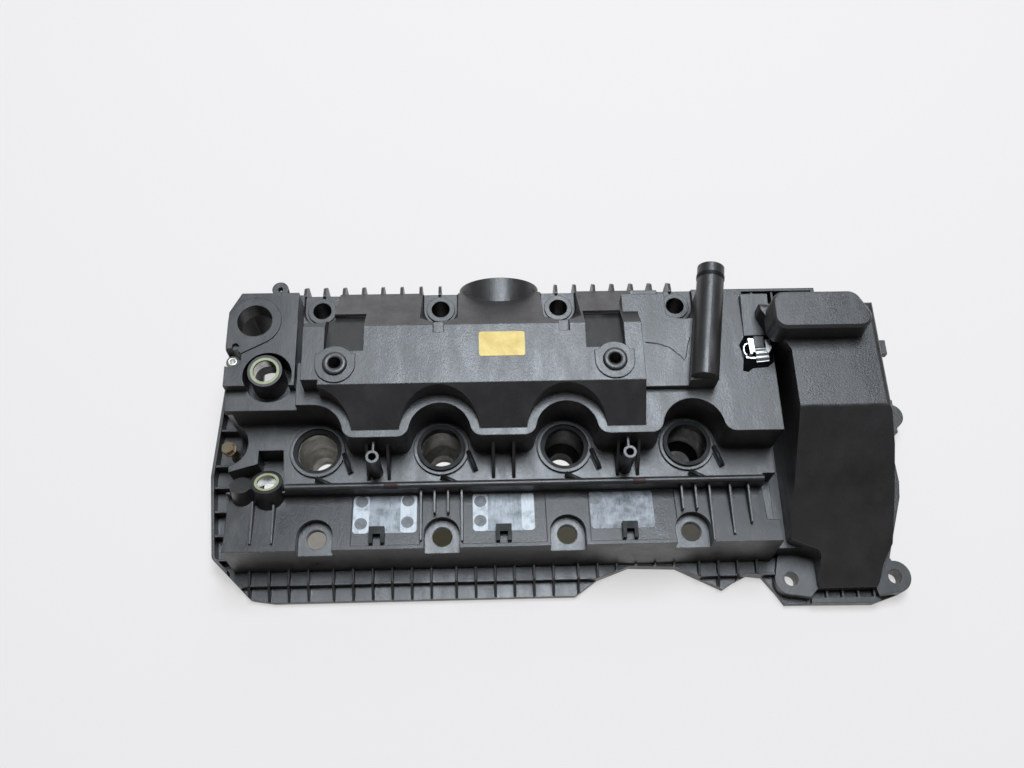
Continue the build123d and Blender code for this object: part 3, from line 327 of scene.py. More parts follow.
@dataclass(frozen=True)
class MouldedPlastic:
    """Glass-filled moulding: dark, finely grained, with dull dusty patches on level faces."""

    name: str = "black_moulding"
    tint: Colour = (0.017, 0.0155, 0.0155)
    faded: Colour = (0.036, 0.0335, 0.033)
    faded_band: Range = (0.35, 0.72)
    cloud_size: float = 0.060
    cloud_depth: float = 0.0005
    dust: Colour = (0.16, 0.15, 0.135)
    dust_share: float = 0.22
    dust_slope: Range = (0.80, 0.97)
    smear_size: float = 0.012
    smear_stretch: Point = (1.0, 0.28, 1.0)
    smear_band: Range = (0.48, 0.72)
    smear_core: Range = (0.3, 0.75)
    smear_spread: Range = (-0.06, 0.12)
    speck_share: float = 0.25
    speck_slope: Range = (0.6, 0.95)
    speck_band: Range = (0.66, 0.74)
    grit_size: float = 0.0016
    grit_depth: float = 0.00012
    grit_spread: Range = (-0.03, 0.05)
    fine_size: float = 0.00045
    fine_depth: float = 0.00006
    rough: float = 0.34
    ior: float = 1.6
    edge_radius: float = 0.0009

    def dirt(self, g: Graph, smear: Socket, grit: Socket) -> Socket:
        """Dust in smears on the level faces, and in specks on the slopes as well.

        Args:
            g: The material under construction.
            smear: Long soft noise.
            grit: Short sharp noise.

        Returns:
            How much of the dust shows.
        """
        up = g.upward()
        patches = g.band(smear, self.smear_band, (0.0, self.dust_share))
        settled = g.math("MULTIPLY", g.band(up, self.dust_slope), patches)
        slope = g.band(up, self.speck_slope, (0.0, self.speck_share))
        return g.math("MAXIMUM", settled, g.math("MULTIPLY", g.band(grit, self.speck_band), slope))

    def material(self) -> bpy.types.Material:
        """Build the material."""
        g = Graph(self.name)
        cloud = g.noise(self.cloud_size, detail=4, rough=0.55)
        smear_place = g.stretched(self.smear_stretch)
        smear = g.noise(self.smear_size, detail=4, rough=0.6, place=smear_place)
        grit = g.noise(self.grit_size, rough=0.6)
        fine = g.noise(self.fine_size, detail=2)
        base = g.blend(g.band(cloud, self.faded_band), self.tint, self.faded)
        colour = g.blend(self.dirt(g, smear, grit), base, self.dust)
        swing = g.around(smear, self.smear_core, self.rough, self.smear_spread)
        rough = g.math("ADD", swing, g.band(grit, NOISE_CORE, self.grit_spread))
        heights = ((cloud, self.cloud_depth), (grit, self.grit_depth), (fine, self.fine_depth))
        return g.finish(colour, rough, heights, self.edge_radius, IOR=self.ior)


@dataclass(frozen=True)
class Rubber:
    """Soft moulded rubber, and other dull dark stuff, also the dark paint of painted shade."""

    name: str
    tint: Colour
    worn: Colour
    rough: float = 0.55
    ior: float = 1.5
    rough_spread: Range = (-0.08, 0.1)
    worn_band: Range = (0.35, 0.75)
    cloud_size: float = 0.006
    cloud_depth: float = 0.0002
    fine_size: float = 0.0006
    fine_depth: float = 0.00004
    edge_radius: float = 0.0003

    def material(self) -> bpy.types.Material:
        """Build the material."""
        g = Graph(self.name)
        cloud, fine = g.noise(self.cloud_size), g.noise(self.fine_size, detail=2)
        colour = g.blend(g.band(cloud, self.worn_band), self.tint, self.worn)
        rough = g.around(cloud, NOISE_CORE, self.rough, self.rough_spread)
        heights = ((cloud, self.cloud_depth), (fine, self.fine_depth))
        return g.finish(colour, rough, heights, self.edge_radius, IOR=self.ior)


@dataclass(frozen=True)
class Metal:
    """Drawn, plated or turned metal with a light film of dirt."""

    name: str
    tint: Colour
    stain: Colour
    rough: float
    stain_share: float = 0.5
    grain: Grain = Grain.DRAWN
    dark_along_x: Range | None = None
    dark_end_tone: float = 0.03
    dark_end_share: float = 0.96
    stain_band: Range = (0.42, 0.75)
    cloud_size: float = 0.009
    cloud_depth: float = 0.0002
    cloud_core: Range = (0.3, 0.8)
    cloud_spread: Range = (-0.05, 0.2)
    line_size: float = 0.0006
    line_depth: float = 0.00004
    line_spread: Range = (-0.04, 0.06)
    edge_radius: float = 0.0002

    def material(self) -> bpy.types.Material:
        """Build the material; it turns darker along X where a range is given for it."""
        g = Graph(self.name)
        cloud = g.noise(self.cloud_size, detail=4, rough=0.6)
        lines = g.noise(self.line_size, detail=2, place=g.stretched(self.grain.value))
        stained = g.band(cloud, self.stain_band, (0.0, self.stain_share))
        colour = g.blend(stained, self.tint, self.stain)
        # darker towards the timing end, along X, where a range is given
        if self.dark_along_x:
            dark_end = tuple(c * self.dark_end_tone for c in self.tint)
            share = g.band(g.axis(g.place, "X"), self.dark_along_x, (0.0, self.dark_end_share))
            colour = g.blend(share, colour, dark_end)
        swing = g.around(cloud, self.cloud_core, self.rough, self.cloud_spread)
        rough = g.math("ADD", swing, g.band(lines, NOISE_CORE, self.line_spread))
        heights = ((cloud, self.cloud_depth), (lines, self.line_depth))
        return g.finish(colour, rough, heights, self.edge_radius, Metallic=1.0)


@dataclass(frozen=True)
class PlainLabel:
    """Bare coated paper label with scuffed corners."""

    name: str = "yellow_label"
    tint: Colour = (0.72, 0.50, 0.083)
    scuffed: Colour = (0.60, 0.42, 0.11)
    scuffed_band: Range = (0.45, 0.8)
    scuffed_share: float = 0.8
    rough: Range = (0.32, 0.5)
    cloud_size: float = 0.010
    cloud_depth: float = 0.0001
    fibre_size: float = 0.0005
    fibre_depth: float = 0.00002

    def material(self) -> bpy.types.Material:
        """Build the material."""
        g = Graph(self.name)
        cloud = g.noise(self.cloud_size, detail=4, rough=0.6)
        fibre = g.noise(self.fibre_size, detail=2)
        scuffs = g.band(cloud, self.scuffed_band, (0.0, self.scuffed_share))
        colour = g.blend(scuffs, self.tint, self.scuffed)
        rough = g.band(cloud, NOISE_CORE, self.rough)
        return g.finish(colour, rough, ((cloud, self.cloud_depth), (fibre, self.fibre_depth)))


@dataclass(frozen=True)
class Film:
    """Thin film or dried glue, cloudy and scratched."""

    name: str
    tint: Colour
    clouded: Colour
    rough: float = 0.34
    cloud_size: float = 0.007
    cloud_band: Range = (0.40, 0.70)
    cloud_depth: float = 0.0002
    streak_size: float = 0.0016
    streak_stretch: Point = (1.0, 0.12, 1.0)
    streak_depth: float = 0.00005
    streak_spread: Range = (-0.08, 0.12)
    thin_band: Range = (0.25, 0.55)
    thin_share: Range = (0.55, 1.0)
    ior: float = 1.48

    def material(self) -> bpy.types.Material:
        """Build the material."""
        g = Graph(self.name)
        cloud = g.noise(self.cloud_size, detail=5, rough=0.62)
        streaks = g.noise(self.streak_size, rough=0.6, place=g.stretched(self.streak_stretch))
        thinned = g.band(streaks, self.thin_band, self.thin_share)
        share = g.math("MULTIPLY", g.band(cloud, self.cloud_band), thinned)
        colour = g.blend(share, self.tint, self.clouded)
        rough = g.around(streaks, NOISE_CORE, self.rough, self.streak_spread)
        heights = ((cloud, self.cloud_depth), (streaks, self.streak_depth))
        return g.finish(colour, rough, heights, IOR=self.ior)


NODE_FINISHES: dict[str, Finish] = {
    "black_moulding": MouldedPlastic(),
    "black_rubber": Rubber(
        "black_rubber", (0.006, 0.006, 0.006), (0.012, 0.011, 0.011), rough=0.5, ior=1.28
    ),
    "pale_rubber": Rubber("pale_rubber", (0.31, 0.34, 0.17), (0.42, 0.43, 0.27), rough=0.35),
    "tube_metal": Metal(
        "tube_metal", (0.62, 0.60, 0.55), (0.20, 0.17, 0.13), 0.32, 0.6, dark_along_x=(-0.01, 0.22)
    ),
    "bright_metal": Metal("bright_metal", (0.78, 0.78, 0.77), (0.45, 0.43, 0.40), 0.22, 0.3),
    "zinc_steel": Metal(
        "zinc_steel", (0.52, 0.50, 0.45), (0.20, 0.18, 0.15), 0.36, 0.7, Grain.SMOOTH
    ),
    "brass": Metal("brass", (0.42, 0.34, 0.23), (0.15, 0.11, 0.07), 0.36, 0.8, Grain.SMOOTH),
    "yellow_label": PlainLabel(),
}
SMALL_MOULDING = MouldedPlastic("small_moulding", dust_share=0.1)
# painted shade: the raised pads are shape, their darker tint paints the tabs' shade
PAD_PAINTED_SHADE = Rubber("pad_shade_paint", (0.010, 0.010, 0.010), (0.022, 0.021, 0.020), rough=0.5)
# painted shade: dark skins laid on the hooks
HOOK_PAINTED_SHADE = Rubber("hook_shade_paint", (0.009, 0.009, 0.009), (0.018, 0.017, 0.016), rough=0.5, ior=1.3)
# painted shade: near-black, dull paint for the shade round the clip
CLIP_SHADE_SHEET = Rubber(
    "clip_shade_paint", (0.003, 0.003, 0.003), (0.006, 0.006, 0.006), rough=0.8, ior=1.05
)
RUST_SMEAR = Rubber("rust_smear", (0.036, 0.010, 0.008), (0.018, 0.009, 0.008), rough=0.6)
CLIP_STEEL = Metal("clip_steel", (0.76, 0.76, 0.75), (0.46, 0.44, 0.41), 0.38, 0.3, Grain.SMOOTH)
SCREW_STEEL = Metal("screw_steel", (0.80, 0.79, 0.74), (0.45, 0.42, 0.36), 0.42, 0.6, Grain.SMOOTH)
TAPE_STRIP = Film("tape_strip", (0.30, 0.32, 0.34), (0.66, 0.69, 0.72), 0.4, 0.009, (0.30, 0.50))
TAPE_FILM = Film("tape_film", (0.13, 0.138, 0.148), (0.42, 0.45, 0.48), 0.3, 0.012, (0.30, 0.62))
TAPE_SPOT = Film("tape_spot", (0.16, 0.165, 0.17), (0.26, 0.265, 0.27), 0.6, 0.003)
FAINT_TAPE = Film("faint_tape", (0.07, 0.073, 0.080), (0.40, 0.42, 0.45), 0.32, 0.010, (0.30, 0.66))


def level(corners: Iterable[Flat], z: float) -> list[Vector]:
    """Points at one height, in metres.

    Args:
        corners: Their X and Y in millimetres.
        z: The height in millimetres.

    Returns:
        The points in the same order.
    """
    return [Vector((x, y, z)) * MM for x, y in corners]


def rise(height: float) -> Vector:
    """Way straight up, in metres, for a height in millimetres."""
    return Vector((0, 0, height)) * MM


class Builder:
    """Makes mesh pieces and lets them ride on the part."""

    def __init__(self) -> None:
        """Start with nothing made."""
        self.made: dict[str, bpy.types.Material] = {}
        self.pieces: list[bpy.types.Object] = []

    def dressed(self, finish: Finish) -> bpy.types.Material:
        """Material of a finish, made once.

        Args:
            finish: The finish.

        Returns:
            Its material.
        """
        if finish.name not in self.made:
            self.made[finish.name] = finish.material()
        return self.made[finish.name]

    def piece(
        self, name: str, mesh: Mesh, finish: Finish, smooth: bool = False, slot: str | None = None
    ) -> bpy.types.Object:
        """Turn a bmesh into a piece that rides on the part.

        Args:
            name: Name of the piece.
            mesh: Its shape in metres, in the frame of the part.
            finish: What it wears.
            smooth: Whether its faces are shaded smooth.
            slot: Not used.

        Returns:
            The piece.
        """
        bmesh.ops.recalc_face_normals(mesh, faces=mesh.faces)
        data = bpy.data.meshes.new(name)
        for face in mesh.faces:
            face.smooth = smooth
        mesh.to_mesh(data)
        mesh.free()
        data.materials.append(self.dressed(finish))
        piece = bpy.data.objects.new(name, data)
        bpy.context.scene.collection.objects.link(piece)
        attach(piece, "root")
        self.pieces.append(piece)
        return piece

    @staticmethod
    def skin(mesh: Mesh, first: list[bmesh.types.BMVert], second: list[bmesh.types.BMVert]) -> None:
        """Close the side between two rings of the same number of corners.

        Args:
            mesh: The mesh to add to.
            first: Corners of one ring, in order.
            second: Corners of the other.
        """
        count = len(first)
        for i in range(count):
            j = (i + 1) % count
            mesh.faces.new((first[i], first[j], second[j], second[i]))

    def slab(self, mesh: Mesh, outline: list[Vector], lift: Vector) -> None:
        """Add a closed slab between an outline and its lifted copy.

        Args:
            mesh: The mesh to add to.
            outline: Corners of the lower face, in order.
            lift: From the lower face to the upper one.
        """
        low = [mesh.verts.new(p) for p in outline]
        high = [mesh.verts.new(p + lift) for p in outline]
        mesh.faces.new(low)
        mesh.faces.new(high)
        self.skin(mesh, low, high)

    def lathe(self, mesh: Mesh, centre: Flat, profile: tuple[Flat, ...], sides: int = 56) -> None:
        """Add a ring turned round an upright axis, all sizes in millimetres.

        Args:
            mesh: The mesh to add to.
            centre: Where the axis stands.
            profile: Radius and height along the section, which is closed.
            sides: Number of steps round the axis.
        """
        middle = Vector((*centre, 0.0))
        rings = []
        for k in range(sides):
            turn = math.tau * k / sides
            out = Vector((math.cos(turn), math.sin(turn), 0.0))
            points = [(middle + out * r + Vector((0, 0, z))) * MM for r, z in profile]
            rings.append([mesh.verts.new(p) for p in points])
        for k in range(sides):
            self.skin(mesh, rings[k], rings[(k + 1) % sides])

    def strip(self, mesh: Mesh, path: list[Vector], across: Vector, thick: float) -> None:
        """Add a bent strip of sheet along a path.

        Args:
            mesh: The mesh to add to.
            path: One long edge of the strip.
            across: From that edge to the other.
            thick: Thickness of the sheet.
        """
        rings = []
        for i, point in enumerate(path):
            ahead = (path[min(i + 1, len(path) - 1)] - path[max(i - 1, 0)]).normalized()
            out = across.normalized().cross(ahead).normalized() * thick
            corners = (point, point + across, point + across + out, point + out)
            rings.append([mesh.verts.new(c) for c in corners])
        for first, second in zip(rings, rings[1:]):
            self.skin(mesh, first, second)
        mesh.faces.new(rings[0])
        mesh.faces.new(rings[-1])


class SmallPart(ABC):
    """A few pieces that lie on the moulding."""

    @abstractmethod
    def build(self, builder: Builder) -> None:
        """Make the pieces."""


@dataclass(frozen=True)
class Terrace:
    """The sloping field in front of the plug deck, in millimetres."""

    rail_y: float = -33.6
    rail_z: float = 50.0
    fall: float = 8.0 / 46.4
    sunk: float = 1.4

    def at(self, x: float, y: float, over: float) -> Vector:
        """Point on a sunken field, in metres.

        Args:
            x: Along the engine.
            y: Across it.
            over: Height over the field.

        Returns:
            The point.
        """
        return Vector((x, y, self.rail_z - self.sunk + self.fall * (self.rail_y - y) + over)) * MM


@dataclass(frozen=True)
class TapeMark(SmallPart):
    """Residue of a double-sided tape on one field: two strips, grey spots, a dull film between."""

    name: str
    left: Range
    right: Range
    spots: tuple[Flat, ...]
    strip: Finish = TAPE_STRIP
    film: Finish = TAPE_FILM
    near_y: float = -66.4
    far_y: float = -34.0
    corner_r: float = 3.0
    spot_r: float = 4.9
    thick: float = 0.12
    film_tuck: float = 1.0
    film_corner_r: float = 0.6
    film_over: float = 0.05
    strip_over: float = 0.10
    spot_over: float = 0.16
    corner_steps: int = 4
    spot_steps: int = 28
    terrace: Terrace = Terrace()

    def outline(self, x_from: float, x_to: float, radius: float, over: float) -> list[Vector]:
        """Rounded outline on the sloping field.

        Args:
            x_from: Left edge.
            x_to: Right edge.
            radius: Of the corners.
            over: Height over the field.

        Returns:
            The corners in order.
        """
        x_low, x_high = x_from + radius, x_to - radius
        y_low, y_high = self.near_y + radius, self.far_y - radius
        centres = ((x_high, y_high), (x_low, y_high), (x_low, y_low), (x_high, y_low))
        points = []
        for quarter, (x, y) in enumerate(centres):
            for k in range(self.corner_steps + 1):
                turn = math.radians(90 * (quarter + k / self.corner_steps))
                reach = (x + radius * math.cos(turn), y + radius * math.sin(turn))
                points.append(self.terrace.at(*reach, over))
        return points

    def build(self, builder: Builder) -> None:
        """Lay the residue.

        Args:
            builder: Makes the pieces.
        """
        lift = rise(self.thick)
        mesh = bmesh.new()
        x_from, x_to = self.left[1] - self.film_tuck, self.right[0] + self.film_tuck
        between = self.outline(x_from, x_to, self.film_corner_r, self.film_over)
        builder.slab(mesh, between, lift)
        builder.piece(f"{self.name}_film", mesh, self.film)
        mesh = bmesh.new()
        for x_from, x_to in (self.left, self.right):
            strip = self.outline(x_from, x_to, self.corner_r, self.strip_over)
            builder.slab(mesh, strip, lift)
        builder.piece(f"{self.name}_strips", mesh, self.strip)
        mesh = bmesh.new()
        turns = [math.tau * k / self.spot_steps for k in range(self.spot_steps)]
        ring = [(self.spot_r * math.cos(t), self.spot_r * math.sin(t)) for t in turns]
        for x, y in self.spots:
            edge = [self.terrace.at(x + dx, y + dy, self.spot_over) for dx, dy in ring]
            builder.slab(mesh, edge, lift)
        builder.piece(f"{self.name}_spots", mesh, TAPE_SPOT)


@dataclass(frozen=True)
class DeckPads(SmallPart):
    """Slanted pads on the tabs beside each plug well, darker than the moulding as painted shade, in
    millimetres.
    """

    bars: tuple[tuple[Flat, Flat], ...] = (
        ((20.9, -2.6), (27.0, -18.7)),
        ((-0.2, -23.0), (14.9, -30.8)),
    )
    width: float = 3.4
    foot_z: float = 60.8
    height: float = 2.4
    rounding: float = 0.5

    def build(self, builder: Builder) -> None:
        """Put a pad on every tab.

        Args:
            builder: Makes the pieces.
        """
        mesh = bmesh.new()
        for well in WELLS:
            for (x0, y0), (x1, y1) in self.bars:
                start = Vector((well + x0, y0, self.foot_z))
                end = Vector((well + x1, y1, self.foot_z))
                side = Vector((0, 0, 1)).cross((end - start).normalized()) * self.width / 2
                corners = (start + side, start - side, end - side, end + side)
                builder.slab(mesh, [c * MM for c in corners], rise(self.height))
        edges = list(mesh.edges)
        bmesh.ops.bevel(mesh, geom=edges, offset=self.rounding * MM, segments=2, affect="EDGES")
        builder.piece("deck_pads", mesh, PAD_PAINTED_SHADE, True)


@dataclass(frozen=True)
class SpringClip(SmallPart):
    """Bent clip at the shelf's end, with the black tab it holds and a black sheet of painted shade
    round it, in mm.
    """

    arms: tuple[tuple[Flat, ...], ...] = (
        ((342.2, 71.9), (346.6, 71.9), (347.1, 60.3), (342.9, 60.0)),
        ((355.9, 70.6), (359.6, 71.4), (360.4, 63.1), (357.3, 58.9), (356.1, 61.4)),
    )
    arm_z: float = 103.1
    foot_z: float = 98.05
    thick: float = 0.9
    leg: Flat = (2.4, 0.9)
    leg_overlap: float = 0.3
    tongue_top: Flat = (347.4, 63.4)
    tongue_foot: Flat = (348.6, 53.4)
    tongue_across: Flat = (10.2, 0.9)
    tongue_rest: float = 0.6
    tongue_bend: float = 1.6
    ridges: int = 3
    ridge_height: float = 0.38
    ridge_steps: int = 8
    ear: tuple[Flat, ...] = (
        (341.8, 68.6),
        (339.6, 67.6),
        (338.4, 65.4),
        (338.0, 62.4),
        (338.6, 59.4),
        (340.0, 57.6),
    )
    ear_height: float = 4.6
    link: tuple[Flat, ...] = ((340.2, 57.6), (344.8, 56.6), (349.4, 56.4))
    link_lift: float = 0.6
    link_width: float = 1.6
    tab: tuple[Flat, ...] = ((347.6, 74.6), (355.4, 74.6), (355.2, 64.4), (347.8, 64.4))
    tab_height: float = 4.2
    shade_outline: tuple[Flat, ...] = (
        (341.7, 77.6),
        (336.3, 69.1),
        (338.8, 58.5),
        (336.9, 46.5),
        (341.2, 45.4),
        (345.1, 48.5),
        (357.1, 49.4),
        (362.7, 53.7),
        (362.7, 75.8),
    )
    shade_thick: float = 0.15

    def bend_arms(self, mesh: Mesh, builder: Builder) -> None:
        """Lay the two flat arms on their legs.

        Args:
            mesh: The mesh to add to.
            builder: Makes the shapes.
        """
        wide, deep = self.leg
        stand = rise(self.arm_z - self.foot_z + self.leg_overlap)
        for arm in self.arms:
            builder.slab(mesh, level(arm, self.arm_z), rise(self.thick))
            for x, y in (arm[0], arm[-1]):
                foot = ((x, y - deep), (x + wide, y - deep), (x + wide, y), (x, y))
                builder.slab(mesh, level(foot, self.foot_z), stand)

    def bend_tongue(self, mesh: Mesh, builder: Builder) -> None:
        """Bend the ridged tongue down to the shelf, turning a little as it falls.

        Args:
            mesh: The mesh to add to.
            builder: Makes the shapes.
        """
        (x0, y0), (x1, y1) = self.tongue_top, self.tongue_foot
        steps = self.ridges * self.ridge_steps
        path = []
        for k in range(steps + 1):
            t = k / steps
            fall = (self.arm_z - self.foot_z - self.tongue_rest) * t**self.tongue_bend
            wave = self.ridge_height * math.sin(math.tau * self.ridges * t)
            z = self.arm_z - fall + wave
            path.append(Vector((x0 + (x1 - x0) * t, y0 + (y1 - y0) * t, z)) * MM)
        builder.strip(mesh, path, Vector((*self.tongue_across, 0.0)) * MM, self.thick * MM)

    def build(self, builder: Builder) -> None:
        """Bend the clip, and put in the tab and the sheet of painted shade.

        Args:
            builder: Makes the pieces.
        """
        mesh = bmesh.new()
        self.bend_arms(mesh, builder)
        self.bend_tongue(mesh, builder)
        builder.strip(mesh, level(self.ear, self.foot_z), rise(self.ear_height), self.thick * MM)
        link = level(self.link, self.foot_z + self.link_lift)
        builder.strip(mesh, link, Vector((0, self.link_width, 0)) * MM, self.thick * MM)
        clip = builder.piece("spring_clip_bent", mesh, CLIP_STEEL, slot="bright_metal")
        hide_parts("spring_clip")
        mesh = bmesh.new()
        builder.slab(mesh, level(self.tab, self.foot_z), rise(self.tab_height))
        builder.piece("clip_tab", mesh, SMALL_MOULDING)
        # painted shade: a thin black sheet on the shelf round the clip, where it lies in shade
        mesh = bmesh.new()
        builder.slab(mesh, level(self.shade_outline, self.foot_z), rise(self.shade_thick))
        builder.piece("clip_painted_shade", mesh, CLIP_SHADE_SHEET)


@dataclass(frozen=True)
class PadBosses(SmallPart):
    """Round raised rims of the screw holes in the roof's two pads, in millimetres."""

    places: tuple[Flat, ...] = ((19.3, 48.3), (233.5, 48.3))
    pad_z: float = 119.5
    height: float = 2.6
    sunk: float = 0.3
    inner: float = 4.6
    outer: float = 9.4
    inner_round: float = 0.5
    outer_round: Flat = (0.9, 0.6)
    draft: float = 0.2

    def profile(self) -> tuple[Flat, ...]:
        """Section of a rim, with rounded edges."""
        top, low = self.pad_z + self.height, self.pad_z - self.sunk
        inward, down = self.outer_round
        return (
            (self.inner, low),
            (self.inner, top - self.inner_round),
            (self.inner + self.inner_round, top),
            (self.outer - inward, top),
            (self.outer - self.draft, top - down),
            (self.outer + self.draft, low),
        )

    def build(self, builder: Builder) -> None:
        """Turn both rims.

        Args:
            builder: Makes the pieces.
        """
        mesh = bmesh.new()
        for place in self.places:
            builder.lathe(mesh, place, self.profile())
        builder.piece("pad_bosses", mesh, SMALL_MOULDING, True)


@dataclass(frozen=True)
class HookShades(SmallPart):
    """Painted shade: thin dark skins on the three forked hooks on the terrace, in millimetres."""

    places: tuple[float, ...] = (48.0, 146.0, 244.0)
    half: float = 6.0
    leg: float = 3.0
    rear_y: float = -62.5
    front_y: float = -75.5
    bar: float = 6.0
    top_z: float = 60.5
    thick: float = 0.15

    def fork(self, middle: float) -> tuple[Flat, ...]:
        """Outline of one fork, whose two legs point to the front."""
        left, right = middle - self.half, middle + self.half
        fork_y = self.rear_y - self.bar
        return (
            (left, self.rear_y),
            (right, self.rear_y),
            (right, self.front_y),
            (right - self.leg, self.front_y),
            (right - self.leg, fork_y),
            (left + self.leg, fork_y),
            (left + self.leg, self.front_y),
            (left, self.front_y),
        )

    def build(self, builder: Builder) -> None:
        """Lay a thin dark skin of painted shade on each fork.

        Args:
            builder: Makes the pieces.
        """
        mesh = bmesh.new()
        for middle in self.places:
            builder.slab(mesh, level(self.fork(middle), self.top_z), rise(self.thick))
        builder.piece("hook_shades", mesh, HOOK_PAINTED_SHADE)


@dataclass(frozen=True)
class BlockCrease(SmallPart):
    """Low curved crease on the block beside the pipe, in millimetres."""

    line: tuple[Flat, ...] = (
        (260.7, 69.6),
        (270.5, 68.2),
        (279.7, 64.6),
        (284.6, 59.6),
        (287.7, 56.6),
        (290.1, 53.6),
        (292.0, 57.0),
        (294.2, 67.0),
        (297.0, 74.0),
    )
    block_z: float = 104.0
    sunk: float = 0.3
    height: float = 0.8
    thick: float = 0.7

    def build(self, builder: Builder) -> None:
        """Stand the crease on the block.

        Args:
            builder: Makes the pieces.
        """
        mesh = bmesh.new()
        path = level(self.line, self.block_z - self.sunk)
        builder.strip(mesh, path, rise(self.height), self.thick * MM)
        builder.piece("block_crease", mesh, SMALL_MOULDING, True)


@dataclass(frozen=True)
class ScrewTop(SmallPart):
    """Turned collar with a deep socket on the head of the upright screw, in millimetres."""

    place: Flat = (-65.1, 65.0)
    head_z: float = 90.0
    section: tuple[Flat, ...] = (
        (0.05, 0.1),
        (1.9, 0.1),
        (2.1, 1.5),
        (2.9, 1.9),
        (3.6, 1.5),
        (3.9, 0.3),
        (5.3, 0.25),
        (5.6, -0.5),
        (5.3, -1.1),
        (4.2, -1.1),
    )

    def build(self, builder: Builder) -> None:
        """Turn the collar.

        Args:
            builder: Makes the pieces.
        """
        mesh = bmesh.new()
        builder.lathe(mesh, self.place, tuple((r, self.head_z + z) for r, z in self.section))
        builder.piece("screw_top", mesh, SCREW_STEEL, True, "zinc_steel")


@dataclass(frozen=True)
class RailMarks(SmallPart):
    """Small rust-red smears lying over the rail, in millimetres."""

    spans: tuple[Range, ...] = ((53.5, 64.0), (248.0, 258.0))
    axis_y: float = -31.0
    axis_z: float = 63.7
    radius: float = 2.72
    half_wrap: float = 95.0
    steps: int = 12
    thick: float = 0.15

    def build(self, builder: Builder) -> None:
        """Wrap the smears over the rail.

        Args:
            builder: Makes the pieces.
        """
        mesh = bmesh.new()
        for x_from, x_to in self.spans:
            path = []
            for k in range(self.steps + 1):
                turn = math.radians(self.half_wrap * (2 * k / self.steps - 1))
                y = self.axis_y - self.radius * math.sin(turn)
                path.append(Vector((x_from, y, self.axis_z + self.radius * math.cos(turn))) * MM)
            builder.strip(mesh, path, Vector((x_to - x_from, 0, 0)) * MM, self.thick * MM)
        builder.piece("rail_marks", mesh, RUST_SMEAR)


SMALL_PARTS: tuple[SmallPart, ...] = (
    TapeMark(
        "tape_a",
        (28.7, 41.3),
        (65.6, 78.4),
        ((35.1, -39.4), (35.0, -58.1), (71.5, -39.2), (71.2, -57.5)),
    ),
    TapeMark("tape_b", (122.2, 134.0), (160.5, 170.5), ((128.2, -41.0), (128.0, -57.6))),
    TapeMark("tape_c", (214.5, 226.0), (253.0, 264.5), ((220.0, -40.5),), FAINT_TAPE, FAINT_TAPE),
    DeckPads(),
    SpringClip(),
    PadBosses(),
    HookShades(),
    BlockCrease(),
    ScrewTop(),
    RailMarks(),
)


@dataclass(frozen=True)
class Lamp:
    """One rectangular soft lamp, in metres and watts."""

    name: str
    place: Point
    size: Flat
    power: float
    tint: Colour

    def hang(self, aim: Point) -> None:
        """Hang the lamp and turn it to a point.

        Args:
            aim: The point it faces.
        """
        data = bpy.data.lights.new(self.name, "AREA")
        data.shape, data.size, data.size_y = "RECTANGLE", *self.size
        data.energy, data.color = self.power, self.tint
        lamp = bpy.data.objects.new(self.name, data)
        lamp.location = self.place
        lamp.rotation_mode = "QUATERNION"
        lamp.rotation_quaternion = (Vector(aim) - Vector(self.place)).to_track_quat("-Z", "Y")
        bpy.context.scene.collection.objects.link(lamp)


@dataclass(frozen=True)
class PaintedGlimpse:
    """Round disc seen only through an opening, glowing for camera rays as painted light or shade,
    in millimetres.
    """

    name: str
    place: Point
    radius: float
    tone: Colour
    dim: float = 0.86
    cloud_size: float = 0.004
    cloud_band: Range = (0.3, 0.8)
    steps: int = 40

    def lay(self, paper: Colour) -> None:
        """Lay the disc of painted light or shade.

        Args:
            paper: Colour of the floor under the lamps.
        """
        mesh = bmesh.new()
        bmesh.ops.create_circle(mesh, cap_ends=True, segments=self.steps, radius=self.radius * MM)
        data = bpy.data.meshes.new(self.name)
        mesh.to_mesh(data)
        mesh.free()
        patch = bpy.data.objects.new(self.name, data)
        patch.location = Vector(self.place) * MM
        bpy.context.scene.collection.objects.link(patch)
        g = Graph(f"{self.name}_tone")
        cloud = g.band(g.noise(self.cloud_size), self.cloud_band)
        tone = g.blend(cloud, self.tone, tuple(c * self.dim for c in self.tone))
        # painted light or shade: camera rays see the disc glow with its tone
        seen = g.add("ShaderNodeLightPath").outputs["Is Camera Ray"]
        data.materials.append(g.pale(seen, paper, tone))


